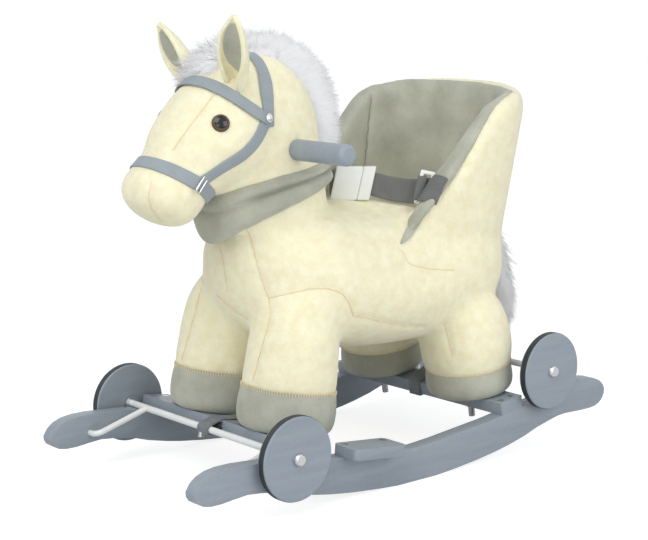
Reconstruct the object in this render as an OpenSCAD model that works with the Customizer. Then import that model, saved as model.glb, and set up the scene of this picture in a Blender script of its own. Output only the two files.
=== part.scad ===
// Ride on horse: a plush pony with a bucket seat on a wooden rocker base.
// Two axle frames swing over the runner tips, so that it rocks or rolls.
// Lengths in mm. +X is forward, +Y is the rider's left, +Z is up.
// The origin lies on the floor under the middle of the runners.

/* [Base] */
// length of a runner from tip to tip
runner_l = 660; // [560:1:760]
// thickness of a runner
runner_t = 18; // [15:0.5:22]
// width over the outer faces of the runners
base_w = 302; // [290:1:340]
// width of a crossbar along the horse
bar_w = 36; // [30:1:42]
// thickness of a crossbar
bar_t = 15; // [12:0.5:18]
// length of a footrest board
foot_l = 77; // [60:1:82]
// width of a footrest board
foot_w = 41; // [34:1:48]
// thickness of a footrest board
foot_t = 12.5; // [10:0.5:16]
// corner radius of a footrest board
foot_r = 7; // [3:0.5:10]
// shank diameter of a wood screw
screw_d = 4; // [3:0.5:5]
// head diameter of a wood screw
screw_head_d = 8; // [7:0.5:9]
// length of a wood screw
screw_l = 28; // [24:1:32]
// diameter of a leg bolt
bolt_d = 8; // [6:0.5:9]
// length of a leg bolt
bolt_l = 68; // [60:1:74]
// width of a leg bolt's nut across its flats
nut_w = 13; // [11:0.5:15]
// thickness of a leg bolt's nut
nut_t = 6.5; // [5:0.5:8]

/* [Axles and wheels] */
// diameter of an axle rod and its arms
rod_d = 8; // [6:0.5:9]
// diameter of an axle frame's arm, less than its rod's
arm_d = 7; // [5:0.5:7.5]
// bend radius at the pivot end of an arm
bend_r = 10; // [8:0.5:12]
// depth of a pivot pin in the runner
pin_in = 14; // [10:0.5:15]
// diameter of a wheel over its rubber band
wheel_d = 95; // [80:1:105]
// thickness of a wheel
wheel_t = 11.6; // [10:0.2:13]
// width of the rubber band
tyre_w = 8; // [6:0.5:9]
// depth of the groove that holds the rubber band
tyre_t = 3.5; // [2.5:0.5:5]
// how far the rubber stands above the wood
tyre_proud = 0.5; // [0.2:0.1:1]
// diameter of a collar ring inside a wheel
collar_d = 18; // [15:0.5:21]
// thickness of a collar ring
collar_t = 3.4; // [2.5:0.1:3.6]
// diameter of an axle cap
cap_d = 15; // [13:0.5:18]
// height of an axle cap
cap_h = 5; // [4:0.2:6]

/* [Horse] */
// length unit of the horse, about from the nose to the backrest
horse_l = 600; // [580:1:615]
// width unit of the horse, about the width of the backrest
horse_w = 250; // [242:1:256]
// height of the horse from the soles to the ear tips
horse_h = 460; // [445:1:475]
// length of the head from the brow to the nose
head_l = 153; // [145:1:160]
// width of the head
head_w = 124; // [116:1:130]
// angle of the head below the horizontal
head_pitch = 45; // [42:0.5:48]
// diameter of a front hoof
hoof_front_d = 114; // [106:1:116]
// diameter of a hind hoof
hoof_hind_d = 108; // [102:1:112]
// height of a front hoof
hoof_front_h = 48; // [42:1:54]
// height of a hind hoof
hoof_hind_h = 35; // [30:1:42]
// distance between the axes of the front legs
leg_front_track = 130; // [126:1:134]
// distance between the axes of the hind legs
leg_hind_track = 160; // [154:1:164]
// diameter of an eye
eye_d = 19; // [16:0.5:22]
// length of an ear
ear_l = 80; // [70:1:86]
// width of an ear
ear_w = 34; // [28:1:38]
// thickness of an ear
ear_t = 14; // [12:0.5:18]
// thickness of the mane
mane_t = 44; // [36:1:46]

/* [Seat and tack] */
// diameter of the handle
handle_d = 24; // [20:0.5:27]
// length of the handle from end to end
handle_l = 296; // [270:1:320]
// thickness of the backrest's plush wall
back_wall = 15; // [12:0.5:18]
// thickness of the seat lining's padding
lining_t = 13; // [10:0.5:16]
// width of a bridle strap
strap_w = 16; // [12:0.5:18]
// thickness of a bridle strap
strap_t = 2.2; // [1.6:0.1:3]
// thickness of the neckerchief
scarf_t = 7; // [5:0.5:9]
// diameter of a bridle rivet
rivet_d = 11; // [9:0.5:13]
// width of the belt webbing
belt_w = 30; // [25:1:34]
// thickness of the belt webbing
belt_t = 1.8; // [1.4:0.1:2.2]
// height of the belt buckle
buckle_h = 40; // [36:1:44]
// length of the buckle's socket
socket_l = 32; // [28:1:36]
// thickness of the buckle's socket
socket_t = 11; // [9:0.5:13]
// length of the buckle's tongue outside the socket
tongue_l = 15; // [13:0.5:18]
// width of a hook-and-loop strap
tie_w = 20; // [16:1:24]
// thickness of a hook-and-loop strap
tie_t = 2; // [1.5:0.1:2.5]

/* [Inner frame] */
// diameter of a leg post
post_d = 28; // [24:1:32]
// diameter of the neck post
neck_post_d = 44; // [38:1:48]
// thickness of the body board and the backrest board
board_t = 12; // [10:0.5:14]

/* [Fits] */
// running clearance of the pivots and wheels, on the radius
run_clear = 0.15; // [0.1:0.05:0.3]
// gap between pieces that move past each other
gap = 0.3; // [0.25:0.05:0.5]
// clearance round a screw or bolt, on the radius
screw_clear = 0.1; // [0.05:0.05:0.3]

/* [Hidden] */
$fn = 48;

// runner outline from its middle to a tip, as shares of half its length
runner_top_shares = [
  [0, 0.1194], [0.103, 0.1262], [0.3606, 0.1515], [0.4121, 0.1585], [0.5515, 0.1794],
  [0.6303, 0.1915], [0.7091, 0.2045], [0.7879, 0.2173], [0.8424, 0.2261], [0.8788, 0.2294],
  [0.9061, 0.2285], [0.9333, 0.2236], [0.9576, 0.2145], [0.9758, 0.2042], [0.9909, 0.1897],
  [1, 0.1715],
];
// runner underside from the tip to its flat middle, as shares of half the length
runner_bottom_shares = [
  [0.9988, 0.1552], [0.9921, 0.1406], [0.9818, 0.1285], [0.9667, 0.1182], [0.9455, 0.1109],
  [0.9182, 0.1079], [0.8727, 0.1076], [0.8121, 0.11], [0.7727, 0.1109], [0.7333, 0.1082],
  [0.6909, 0.0997], [0.6182, 0.0836], [0.5455, 0.0612], [0.4636, 0.0427], [0.4, 0.0312],
  [0.303, 0.018], [0.1818, 0.0065], [0.0909, 0],
];
// body: x, centre z, half width, half height, as shares of the horse's units
body_shares = [
  [-0.4017, 0.3679, 0.152, 0.0957], [-0.3833, 0.3658, 0.264, 0.1304],
  [-0.355, 0.3625, 0.348, 0.1576], [-0.3167, 0.3538, 0.416, 0.175], [-0.25, 0.3429, 0.464, 0.1859],
  [-0.15, 0.3332, 0.48, 0.1913], [-0.0333, 0.331, 0.48, 0.1891], [0.0667, 0.3397, 0.468, 0.1848],
  [0.1333, 0.3505, 0.444, 0.1783], [0.18, 0.3614, 0.4, 0.1674], [0.2167, 0.3679, 0.34, 0.15],
  [0.2467, 0.3745, 0.26, 0.1217], [0.2683, 0.3788, 0.168, 0.0848], [0.28, 0.381, 0.088, 0.0478],
];
// neck: z, centre x, half length, half width
neck_shares = [
  [0.4766, 0.175, 0.13, 0.264], [0.5418, 0.1767, 0.1333, 0.256], [0.6071, 0.18, 0.1333, 0.24],
  [0.681, 0.18, 0.1233, 0.228], [0.7592, 0.1833, 0.1167, 0.228], [0.8245, 0.1933, 0.1033, 0.208],
  [0.8723, 0.2033, 0.08, 0.168], [0.9027, 0.21, 0.05, 0.108], [0.9158, 0.2133, 0.02, 0.04],
];
// head along its own axis: place, offset, half depth, half width
head_shares = [
  [-0.3399, 0.0327, 0.0915, 0.1129], [-0.3007, 0.0261, 0.2222, 0.2419],
  [-0.1961, 0.0196, 0.3399, 0.371], [-0.0327, -0.0131, 0.3922, 0.4516],
  [0.1634, -0.0196, 0.4118, 0.4919], [0.3268, -0.0131, 0.3987, 0.5],
  [0.4902, -0.0065, 0.3725, 0.4677], [0.6536, -0.0131, 0.3399, 0.4194],
  [0.7516, -0.0131, 0.3203, 0.4073], [0.8366, 0, 0.2941, 0.4113], [0.902, 0.0196, 0.2582, 0.3831],
  [0.9477, 0.0523, 0.2026, 0.3145], [0.9804, 0.0784, 0.1373, 0.2177], [1, 0.098, 0.0588, 0.0968],
];
// backrest: z, centre x, half length, half width
back_shares = [
  [0.3136, -0.2, 0.2, 0.424], [0.4071, -0.2, 0.2167, 0.44], [0.4918, -0.2, 0.2217, 0.456],
  [0.5853, -0.2, 0.2317, 0.472], [0.6353, -0.2, 0.2367, 0.48], [0.7245, -0.2, 0.245, 0.496],
  [0.8027, -0.2, 0.2467, 0.5], [0.8505, -0.2, 0.2467, 0.5],
];
// front rim of the backrest: x, z
rim_shares = [
  [0, 0.394], [-0.0067, 0.4201], [-0.03, 0.4397], [-0.0567, 0.4658], [-0.1, 0.5288],
  [-0.1417, 0.5853], [-0.18, 0.6418], [-0.2133, 0.694], [-0.2433, 0.7397], [-0.27, 0.7723],
  [-0.3, 0.794], [-0.3417, 0.8071], [-0.4, 0.8158],
];
// tail: z, centre x, half length, half width
tail_shares = [
  [0.4853, -0.3967, 0.0133, 0.036], [0.4505, -0.4233, 0.0233, 0.064],
  [0.394, -0.4533, 0.0317, 0.088], [0.3179, -0.4733, 0.0367, 0.1], [0.2418, -0.485, 0.0367, 0.096],
  [0.194, -0.4917, 0.0283, 0.072], [0.1723, -0.495, 0.015, 0.036],
];
// mane outline: x, z
mane_shares = [
  [0.3433, 0.8766], [0.3167, 0.9288], [0.2533, 0.9592], [0.1733, 0.9679], [0.1, 0.9462],
  [0.0417, 0.8962], [0.005, 0.8245], [-0.0117, 0.7614], [-0.015, 0.6853], [0, 0.6592],
  [0.0833, 0.6592], [0.1, 0.7158], [0.1167, 0.781], [0.1833, 0.8353], [0.2833, 0.8027],
];
// the front end of a runner, round its tip: x, z
runner_nose_shares = [
  [0.7091, 0.197], [0.7879, 0.2018], [0.8424, 0.2015], [0.8848, 0.1958], [0.9182, 0.1836],
  [0.9424, 0.1652], [0.9576, 0.1409], [0.9564, 0.1258], [0.947, 0.1106], [0.9273, 0.0985],
  [0.897, 0.0927], [0.8545, 0.0927], [0.803, 0.0979], [0.7515, 0.1018], [0.697, 0.0964],
];
// neckerchief seen from the side: x, z
scarf_shares = [
  [0, 0.6549], [0.0967, 0.6397], [0.21, 0.6266], [0.3167, 0.5984], [0.4, 0.5527], [0.3917, 0.4288],
  [0.3583, 0.4614], [0.2867, 0.5158], [0.2, 0.5484], [0.0917, 0.5875], [0, 0.6114],
];

// ear along its axis: place, half thickness, half width
ear_shares = [
  [-0.12, 0.7, 0.62], [0.08, 0.95, 0.8], [0.3, 1, 1], [0.55, 0.9, 0.95],
  [0.78, 0.65, 0.68], [0.92, 0.4, 0.38], [1, 0.12, 0.1],
];
// ear lining along the ear's axis: place, half thickness, half width
ear_lining_shares = [
  [0.1, 0.2, 0.2], [0.2, 0.45, 0.45], [0.4, 0.55, 0.62], [0.6, 0.5, 0.56],
  [0.78, 0.35, 0.36], [0.88, 0.15, 0.12],
];
// front leg: radius as a share of its hoof's diameter, height as a share of the horse's
leg_front_shares = [
  [0.482, 0.15], [0.47, 0.21], [0.448, 0.256], [0.404, 0.3], [0.316, 0.337], [0.175, 0.359],
];
// hind leg: radius as a share of its hoof's diameter, height as a share of the horse's
leg_hind_shares = [
  [0.523, 0.105], [0.532, 0.15], [0.5, 0.2], [0.43, 0.245], [0.3, 0.28], [0.15, 0.295],
];
// hoof: radius as a share of its diameter, height as a share of its own
hoof_shares = [[0.41, 0], [0.46, 0.06], [0.49, 0.2], [0.5, 0.4], [0.5, 0.62], [0.49, 1]];

// places along the base, as shares of a runner's length or half length
bar_share = 0.2409;
foot_share = 0.1159;
pivot_x_share = 0.797;
pivot_z_share = 0.1352;
arm_share = 0.2273;
// places of the legs and bolts from the middle of their crossbar
leg_front_share = -0.25;
leg_hind_share = 0.01;
bolt_front_share = -0.3;
bolt_hind_share = 0;
// place of the head, ears, eyes, handle, posts and belt
head_x_share = 0.25;
head_z_share = 0.7701;
ear_place_shares = [0.2933, 0.16, 0.842];
eye_place_shares = [0.275, 0.395, 0.19];
handle_x_share = 0.1717;
handle_z_share = 0.681;
grip_share = 0.236;
neck_post_top_share = 0.74;
board_z_share = 0.294;
board_front_share = 0.2233;
board_rear_share = -0.2917;
board_w_share = 0.336;
back_board_x_share = -0.388;
back_board_z_share = 0.4;
back_board_w_share = 0.36;
back_board_h_share = 0.345;
board_tongue_share = -0.383;
belt_x_share = 0.0067;
belt_z_share = 0.571;
belt_side_share = 0.36;
belt_back_share = 0.175;
belt_wall_share = 0.47;
ear_lift_share = 0.32;
// bridle places along the head, as shares of its length
noseband_share = 0.706;
browband_share = 0;
cheek_share = 0.02;
crown_x_share = 0.2367;
slider_place_share = 0.792;
rivet_share = 0.5;
bridle_slider_share = 0.445;
slider_plate_share = 0.65;

// angles of the ears and the backrest board, and the number of points round a form
ear_yaw = 32;
ear_lean = 23;
back_lean = 6.6;
body_n = 28;
form_n = 24;
ear_n = 14;
corner_n = 8;
body_p = 2.3;
back_p = 2.6;
form_p = 2.1;

// derived sizes of the base
half_l = runner_l/2;
mid_x = half_l*(1 - max([for (p = runner_nose_shares) p[0]]))/2;
rod_r = rod_d/2;
pin_r = arm_d/2;
screw_r = screw_d/2;
bolt_r = bolt_d/2;
half_w = base_w/2;
inner_y = half_w - runner_t;
runner_y = half_w - runner_t/2;
arm_r = half_l*arm_share;
bar_x = runner_l*bar_share;
bar_z = top_z(bar_x);
bar_a = atan2(top_z(bar_x + bar_w/2) - top_z(bar_x - bar_w/2), bar_w);
foot_x = runner_l*foot_share;
foot_a = atan2(top_z(foot_x + foot_l/2) - top_z(foot_x - foot_l/2), foot_l);
pivot_x = half_l*pivot_x_share;
pivot_z = half_l*pivot_z_share;
sole_z = bar_z + bar_t;
leg_front_x = hoof_front_d*leg_front_share;
leg_hind_x = hoof_hind_d*leg_hind_share;
bolt_front_x = bar_w*bolt_front_share;
bolt_hind_x = bar_w*bolt_hind_share;
bar_screw_x = bar_w/4;
foot_screw_x = foot_l*3/8;
bolt_below = bolt_l*3/10;
bolt_in = bolt_l - bolt_below - bar_t;
head_sink = (screw_head_d - screw_d)/2;

// axle frames: wheel places, stops and rest angles
wheel_in = half_w + gap + collar_t + gap;
wheel_out = wheel_in + wheel_t;
rod_end = wheel_out + gap + cap_h/2;
wheel_y = wheel_in + wheel_t/2;
arm_y = inner_y - bend_r - pin_r;
rest_top = [half_l*runner_top_shares[4], half_l*runner_top_shares[5]];
rest_low = [half_l*runner_bottom_shares[12], half_l*runner_bottom_shares[11]];
top_a = atan2(rest_top[1][1] - rest_top[0][1], rest_top[1][0] - rest_top[0][0]);
low_a = atan2(rest_low[1][1] - rest_low[0][1], rest_low[1][0] - rest_low[0][0]);
rod_off = rod_r + gap;
front_reach = rod_off - (pivot_z - rest_top[0][1])*cos(top_a) + (pivot_x - rest_top[0][0])*sin(top_a);
front_a = asin(front_reach/arm_r) - top_a;
hoof_back = leg_hind_x + hoof_hind_d/2 + rod_off;
rear_reach = (pivot_x - bar_x)*cos(bar_a) + (pivot_z - bar_z)*sin(bar_a) - hoof_back;
rear_a = acos(rear_reach/arm_r) - bar_a;
low_reach = rod_off - (pivot_x - rest_low[0][0])*sin(low_a) + (pivot_z - rest_low[0][1])*cos(low_a);
low_end_a = low_a + asin(low_reach/arm_r);

// derived places on the horse
handle_x = horse_l*handle_x_share;
handle_z = horse_z(handle_z_share);
board_z = horse_z(board_z_share);
belt_x = horse_l*belt_x_share;
belt_z = horse_z(belt_z_share);
far = runner_l;
socket_end = socket_l/8;
socket_in = socket_end + socket_l;
tongue_end = socket_in + tongue_l;
belt_side = horse_w*belt_side_share;
belt_back = horse_l*belt_back_share;
belt_a = atan2(belt_side, belt_back + belt_x);
belt_end = (horse_w*belt_wall_share - back_wall - lining_t/2)/sin(belt_a);
slider_x = norm([belt_back + belt_x, belt_side])*slider_place_share;
slider_l = socket_l*3/8;
slider_t = socket_t*5/9;
pocket_l = socket_l*2/3;
pocket_w = buckle_h*13/20;
pocket_t = socket_t*4/9;
handle_step = handle_d/24;
bore_out = handle_d/2 - handle_step;
grip_in = horse_w*grip_share;

function top_z(x) = half_l*lookup(x/half_l, runner_top_shares);
function rod_at(a) = [pivot_x - arm_r*cos(a), pivot_z + arm_r*sin(a)];
function horse_z(share) = sole_z + horse_h*share;
function flip(list) = [for (i = [len(list) - 1:-1:0]) [-list[i][0], list[i][1]]];
function flip_rows(list) = [for (i = [len(list) - 1:-1:0]) list[i]];
function bent(v, p) = sign(v)*pow(abs(v), p);
// the outline of a board with round corners
function round_board(l, w, r) = [
  for (c = [[r, r, 180], [l - r, r, 270], [l - r, w - r, 0], [r, w - r, 90]], i = [0:corner_n])
    [c[0] + r*cos(c[2] + 90*i/corner_n), c[1] + r*sin(c[2] + 90*i/corner_n)]
];
// points of a rounded outline with half sizes a and b
function oval(n, a, b, p) = [
  for (i = [0:n - 1]) [a*bent(cos(360*i/n), 2/p), b*bent(sin(360*i/n), 2/p)]
];
function mean(list) = [for (k = [0:2]) let (v = [for (p = list) p[k]]) v*[for (p = list) 1]/len(list)];

// moves the whole toy so that the middle of its length is at X = 0
module place() {
  translate([mid_x, 0, 0])
    children();
}

// a closed soft form through rings of points, with triangles all over
module loft(rings) {
  n = len(rings[0]);
  m = len(rings);
  points = concat([for (r = rings, p = r) p], [mean(rings[0]), mean(rings[m - 1])]);
  sides = [
    for (i = [0:m - 2], j = [0:n - 1]) let (a = i*n + j, b = i*n + (j + 1) % n)
      each [[a, a + n, b + n], [a, b + n, b]]
  ];
  low = [for (j = [0:n - 1]) [m*n, j, (j + 1) % n]];
  high = [for (j = [0:n - 1]) [m*n + 1, (m - 1)*n + (j + 1) % n, (m - 1)*n + j]];
  polyhedron(points = points, faces = concat(sides, low, high));
}

// upright forms: each row is z, centre x, half length, half width; the ends reach on by over
module upright_form(rows, n, p, grow, over) {
  last = len(rows) - 1;
  loft([
    for (i = [0:last]) let (r = rows[i], z = horse_z(r[0]) + (i == last ? over : i == 0 ? -over : 0))
      [for (q = oval(n, horse_l*r[2] + grow, horse_w*r[3] + grow, p))
        [horse_l*r[1] + q[0], q[1], z]]
  ]);
}

module body_form() {
  loft([
    for (r = body_shares)
      [for (q = oval(body_n, horse_w*r[2], horse_h*r[3], body_p))
        [horse_l*r[0], q[0], horse_z(r[1]) + q[1]]]
  ]);
}

module neck_form(grow) {
  upright_form(neck_shares, form_n, form_p, grow, grow);
}

// the head's own frame: its axis runs along local Z and its brow faces local -X
module at_head() {
  translate([horse_l*head_x_share, 0, horse_z(head_z_share)])
    rotate([0, 90 + head_pitch, 0])
      children();
}

module head_form(grow) {
  at_head()
    loft([
      for (r = head_shares)
        [for (q = oval(form_n, head_l*r[2] + grow, head_w*r[3] + grow, form_p))
          [q[0] - head_l*r[1], q[1], head_l*r[0]]]
    ]);
}

module back_form(inset) {
  upright_form(back_shares, body_n, back_p, -inset, inset);
}

// the part of the backrest's space that lies behind its rim
module behind_rim() {
  points = [for (r = rim_shares) [horse_l*r[0], horse_z(r[1])]];
  last = points[len(points) - 1];
  along_y(points = concat(points, [[-horse_l, last[1]], [-horse_l, points[0][1]]]), y = horse_w);
}

// a plate cut to an outline in X and Z, reaching y to each side
module along_y(points, y) {
  translate([0, y, 0])
    rotate([90, 0, 0])
      linear_extrude(2*y)
        polygon(points);
}

// frames of the crossbars: local X runs outwards, local Z is square to the bar
module at_bar(front) {
  mirror([front ? 0 : 1, 0, 0])
    translate([bar_x, 0, bar_z])
      rotate([0, -bar_a, 0])
        children();
}

module at_foot(side) {
  translate([foot_x, side*runner_y, top_z(foot_x)])
    rotate([0, -foot_a, 0])
      children();
}

// the frame of an axle frame at its pivot, with the rod along local -X
module at_pivot(front) {
  mirror([front ? 0 : 1, 0, 0])
    translate([pivot_x, 0, pivot_z])
      rotate([0, front ? front_a : rear_a, 0])
        children();
}

module at_rod(front) {
  at_pivot(front)
    translate([-arm_r, 0, 0])
      children();
}

module post_axis(front, side) {
  at_bar(front)
    translate([front ? bolt_front_x : bolt_hind_x, side*(front ? leg_front_track : leg_hind_track)/2, bar_t])
      children();
}

module leg_axis(front, side) {
  at_bar(front)
    translate([front ? leg_front_x : leg_hind_x, side*(front ? leg_front_track : leg_hind_track)/2, bar_t])
      children();
}

// rods along Y, from one place to another
module rod_y(r, from, to) {
  translate([0, from, 0])
    rotate([-90, 0, 0])
      cylinder(r = r, h = to - from);
}

module wood_screw() {
  translate([0, 0, -screw_l])
    cylinder(r = screw_r, h = screw_l - head_sink);
  translate([0, 0, -head_sink])
    cylinder(r1 = screw_r, r2 = screw_head_d/2, h = head_sink);
}

module screw_hole() {
  r = screw_r + screw_clear;
  head_r = screw_head_d/2;
  rotate_extrude()
    polygon([
      [0, -screw_l - gap], [r, -screw_l - gap], [r, screw_clear - head_sink],
      [head_r, 0], [head_r, gap], [0, gap],
    ]);
}

// the four screw places of the crossbar ends and the two of a footrest
module at_bar_screws() {
  for (front = [true, false], side = [-1, 1], x = [-bar_screw_x, bar_screw_x])
    at_bar(front)
      translate([x, side*runner_y, bar_t])
        children();
}

module at_foot_screws() {
  for (side = [-1, 1], x = [-foot_screw_x, foot_screw_x])
    at_foot(side)
      translate([x, 0, foot_t])
        children();
}

// one runner: its front end is a little shorter than its rear end
module runner(side) {
  top = [for (p = runner_top_shares) half_l*p];
  low = [for (p = runner_bottom_shares) half_l*p];
  nose = [for (p = runner_nose_shares) half_l*p];
  ahead = concat([for (i = [0:5]) top[i]], nose, [for (i = [11:len(low) - 1]) low[i]]);
  behind = flip(concat([for (i = [1:len(top) - 1]) top[i]], low));
  difference() {
    translate([0, side*runner_y, 0])
      along_y(points = concat(ahead, behind), y = runner_t/2);
    for (x = [-pivot_x, pivot_x])
      translate([x, 0, pivot_z])
        rod_y(pin_r + run_clear, side > 0 ? inner_y - gap : -inner_y - pin_in - gap,
          side > 0 ? inner_y + pin_in + gap : -inner_y + gap);
    at_bar_screws()
      screw_hole();
    at_foot_screws()
      screw_hole();
  }
}

module crossbar(front) {
  difference() {
    at_bar(front)
      translate([-bar_w/2, -half_w, 0])
        cube([bar_w, base_w, bar_t]);
    at_bar_screws()
      screw_hole();
    for (side = [-1, 1])
      post_axis(front, side)
        translate([0, 0, -bar_t - gap])
          cylinder(r = bolt_r + screw_clear, h = bar_t + 2*gap);
  }
}

// a board with round corners, lying on a runner and overhanging outwards
module footrest(side) {
  outward = side > 0 ? -runner_t/2 : runner_t/2 - foot_w;
  difference() {
    at_foot(side)
      translate([-foot_l/2, outward, 0])
        linear_extrude(foot_t)
          polygon(round_board(foot_l, foot_w, foot_r));
    at_foot_screws()
      screw_hole();
  }
}

module axle_rod(front) {
  at_rod(front)
    rod_y(rod_r, -rod_end, rod_end);
}

// a welded arm that bends outwards into its pivot hole
module arm(front, side) {
  pin_y = side > 0 ? arm_y + bend_r : -inner_y - pin_in;
  difference() {
    at_pivot(front)
      union() {
        translate([-bend_r, side*arm_y, 0])
          rotate([0, -90, 0])
            cylinder(r = pin_r, h = arm_r - bend_r);
        translate([-bend_r, side*(arm_y + bend_r), 0])
          rotate([0, 0, side > 0 ? -90 : 0])
            rotate_extrude(angle = 90)
              translate([bend_r, 0])
                circle(r = pin_r);
        rod_y(pin_r, pin_y, pin_y + inner_y + pin_in - arm_y - bend_r);
      }
    at_rod(front)
      rod_y(rod_r, -rod_end, rod_end);
  }
}

// dome caps on the rod's ends and collar rings inside the wheels
module axle_fittings(front) {
  at_rod(front)
    for (side = [-1, 1])
      mirror([0, side > 0 ? 0 : 1, 0]) {
        difference() {
          rod_y(collar_d/2, half_w + gap, half_w + gap + collar_t);
          rod_y(rod_r, half_w, wheel_in);
        }
        difference() {
          intersection() {
            translate([0, wheel_out + gap, 0])
              sphere(r = cap_d/2);
            rod_y(cap_d, wheel_out + gap, wheel_out + gap + cap_h);
          }
          rod_y(rod_r, wheel_out, rod_end);
        }
      }
}

// a wooden disc with a groove round its rim
module wheel(front, side) {
  wood_r = wheel_d/2 - tyre_proud;
  groove_r = wheel_d/2 - tyre_t;
  edge = tyre_proud*2;
  at_rod(front)
    translate([0, side*wheel_y, 0])
      rotate([90, 0, 0])
        rotate_extrude()
          polygon([
            [rod_r + run_clear, -wheel_t/2], [wood_r - edge, -wheel_t/2], [wood_r, edge - wheel_t/2],
            [wood_r, -tyre_w/2], [groove_r, -tyre_w/2], [groove_r, tyre_w/2], [wood_r, tyre_w/2],
            [wood_r, wheel_t/2 - edge], [wood_r - edge, wheel_t/2], [rod_r + run_clear, wheel_t/2],
          ]);
}

module tyre(front, side) {
  at_rod(front)
    translate([0, side*wheel_y, 0])
      rotate([90, 0, 0])
        rotate_extrude()
          polygon([
            [wheel_d/2 - tyre_t, -tyre_w/2], [wheel_d/2 - tyre_proud, -tyre_w/2],
            [wheel_d/2, tyre_proud - tyre_w/2], [wheel_d/2, tyre_w/2 - tyre_proud],
            [wheel_d/2 - tyre_proud, tyre_w/2], [wheel_d/2 - tyre_t, tyre_w/2],
          ]);
}

// a closed strap round a crossbar and the rod that it ties
module tie(front) {
  rod = rod_at(front ? front_a : rear_a);
  x = (rod[0] - bar_x)*cos(bar_a) + (rod[1] - bar_z)*sin(bar_a);
  z = (rod[1] - bar_z)*cos(bar_a) - (rod[0] - bar_x)*sin(bar_a);
  at_bar(front)
    translate([0, tie_w/2, 0])
      rotate([90, 0, 0])
        linear_extrude(tie_w)
          difference() {
            tie_outline(x, z, gap + tie_t);
            tie_outline(x, z, gap);
          }
}

module tie_outline(x, z, grow) {
  hull() {
    translate([-bar_w/2 - grow, -grow])
      square([bar_w + 2*grow, bar_t + 2*grow]);
    translate([x, z])
      circle(r = rod_r + grow, $fn = 32);
  }
}

// a leg turned about its own axis, rising from its hoof
module leg_form(front) {
  d = front ? hoof_front_d : hoof_hind_d;
  h = front ? hoof_front_h : hoof_hind_h;
  rows = front ? leg_front_shares : leg_hind_shares;
  top = rows[len(rows) - 1][1]*horse_h;
  rotate_extrude()
    polygon(concat(
      [[0, top], [0, h], [d*hoof_shares[len(hoof_shares) - 1][0], h]],
      [for (r = rows) [d*r[0], horse_h*r[1]]]
    ));
}

module hoof_form(front) {
  d = front ? hoof_front_d : hoof_hind_d;
  h = front ? hoof_front_h : hoof_hind_h;
  rotate_extrude()
    polygon(concat([[0, h], [0, 0]], [for (r = hoof_shares) [d*r[0], h*r[1]]]));
}

// the bore of a leg post, up to the body board or sunk into it, and from under its sole
module post_bore(front, side, sink = 0, under = 0) {
  intersection() {
    post_axis(front, side)
      translate([0, 0, -under])
        cylinder(r = post_d/2, h = horse_h);
    translate([-far, -far, 0])
      cube([2*far, 2*far, board_z + sink]);
  }
}

module leg(front, side) {
  difference() {
    leg_axis(front, side)
      leg_form(front);
    body_form();
    post_bore(front, side);
    board();
  }
}

module hoof(front, side) {
  difference() {
    leg_axis(front, side)
      hoof_form(front);
    post_bore(front, side, under = gap);
  }
}

// the board in the body, with a narrower end that carries the backrest's plate
module board() {
  half = horse_w*board_w_share;
  tongue = horse_w*back_board_w_share/2 + board_t/2;
  front = horse_l*board_front_share;
  translate([0, 0, board_z])
    linear_extrude(board_t)
      polygon([
        [front, -half], [front, half], [horse_l*board_rear_share, half], [horse_l*board_rear_share, tongue],
        [horse_l*board_tongue_share, tongue], [horse_l*board_tongue_share, -tongue],
        [horse_l*board_rear_share, -tongue], [horse_l*board_rear_share, -half],
      ]);
}

module neck_post_form(sink = 0) {
  low = board_z + board_t - sink;
  translate([handle_x, 0, low])
    cylinder(r = neck_post_d/2, h = horse_z(neck_post_top_share) - low);
}

module handle_bore() {
  translate([handle_x, 0, handle_z])
    rod_y(bore_out, -handle_l, handle_l);
}

// the plate inside the backrest, standing on the body board
module back_board_form(sink = 0) {
  low = board_z + board_t - sink;
  difference() {
    translate([horse_l*back_board_x_share, 0, horse_z(back_board_z_share)])
      rotate([0, -back_lean, 0])
        translate([-board_t/2, -horse_w*back_board_w_share/2, -horse_h/4])
          cube([board_t, horse_w*back_board_w_share, horse_h*(back_board_h_share + 1/4)]);
    translate([-far, -far, low - far])
      cube([2*far, 2*far, far]);
  }
}

module mane_form() {
  along_y(points = [for (r = mane_shares) [horse_l*r[0], horse_z(r[1])]], y = mane_t/2);
}

module at_ear(side) {
  mirror([0, side > 0 ? 0 : 1, 0])
    translate([horse_l*ear_place_shares[0], horse_w*ear_place_shares[1], horse_z(ear_place_shares[2])])
      rotate([0, ear_lean, ear_yaw])
        children();
}

module ear_form(rows, lift) {
  loft([
    for (r = rows)
      [for (q = oval(ear_n, ear_t*r[1]/2, ear_w*r[2]/2, form_p))
        [q[0] + lift, q[1], ear_l*r[0]]]
  ]);
}

module ear_pocket(side) {
  at_ear(side)
    ear_form(ear_lining_shares, ear_t*ear_lift_share);
}

module ear(side) {
  difference() {
    at_ear(side)
      ear_form(ear_shares, 0);
    ear_pocket(side);
    head_form(0);
    neck_form(0);
  }
}

// an eye ball, sunk into the head
module eye_form(side) {
  at_head()
    translate([-head_l*eye_place_shares[2], side*head_w*eye_place_shares[1], head_l*eye_place_shares[0]])
      sphere(d = eye_d);
}

// a slab across the head at a share of its length
module head_slab(share, width) {
  at_head()
    translate([-far/2, -far/2, head_l*share - width/2])
      cube([far, far, width]);
}

module cheek_slab() {
  at_head()
    translate([head_l*cheek_share - strap_w/2, -far/2, head_l*browband_share])
      cube([strap_w, far, head_l*(noseband_share - browband_share) - strap_w/2]);
}

module crown_slab() {
  translate([horse_l*crown_x_share - strap_w/2, -far/2, horse_z(head_z_share)])
    cube([strap_w, far, far]);
}

module brow_side() {
  at_head()
    translate([-far, -far/2, -far/2])
      cube([far + head_l*cheek_share + strap_w/2, far, far]);
}

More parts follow.
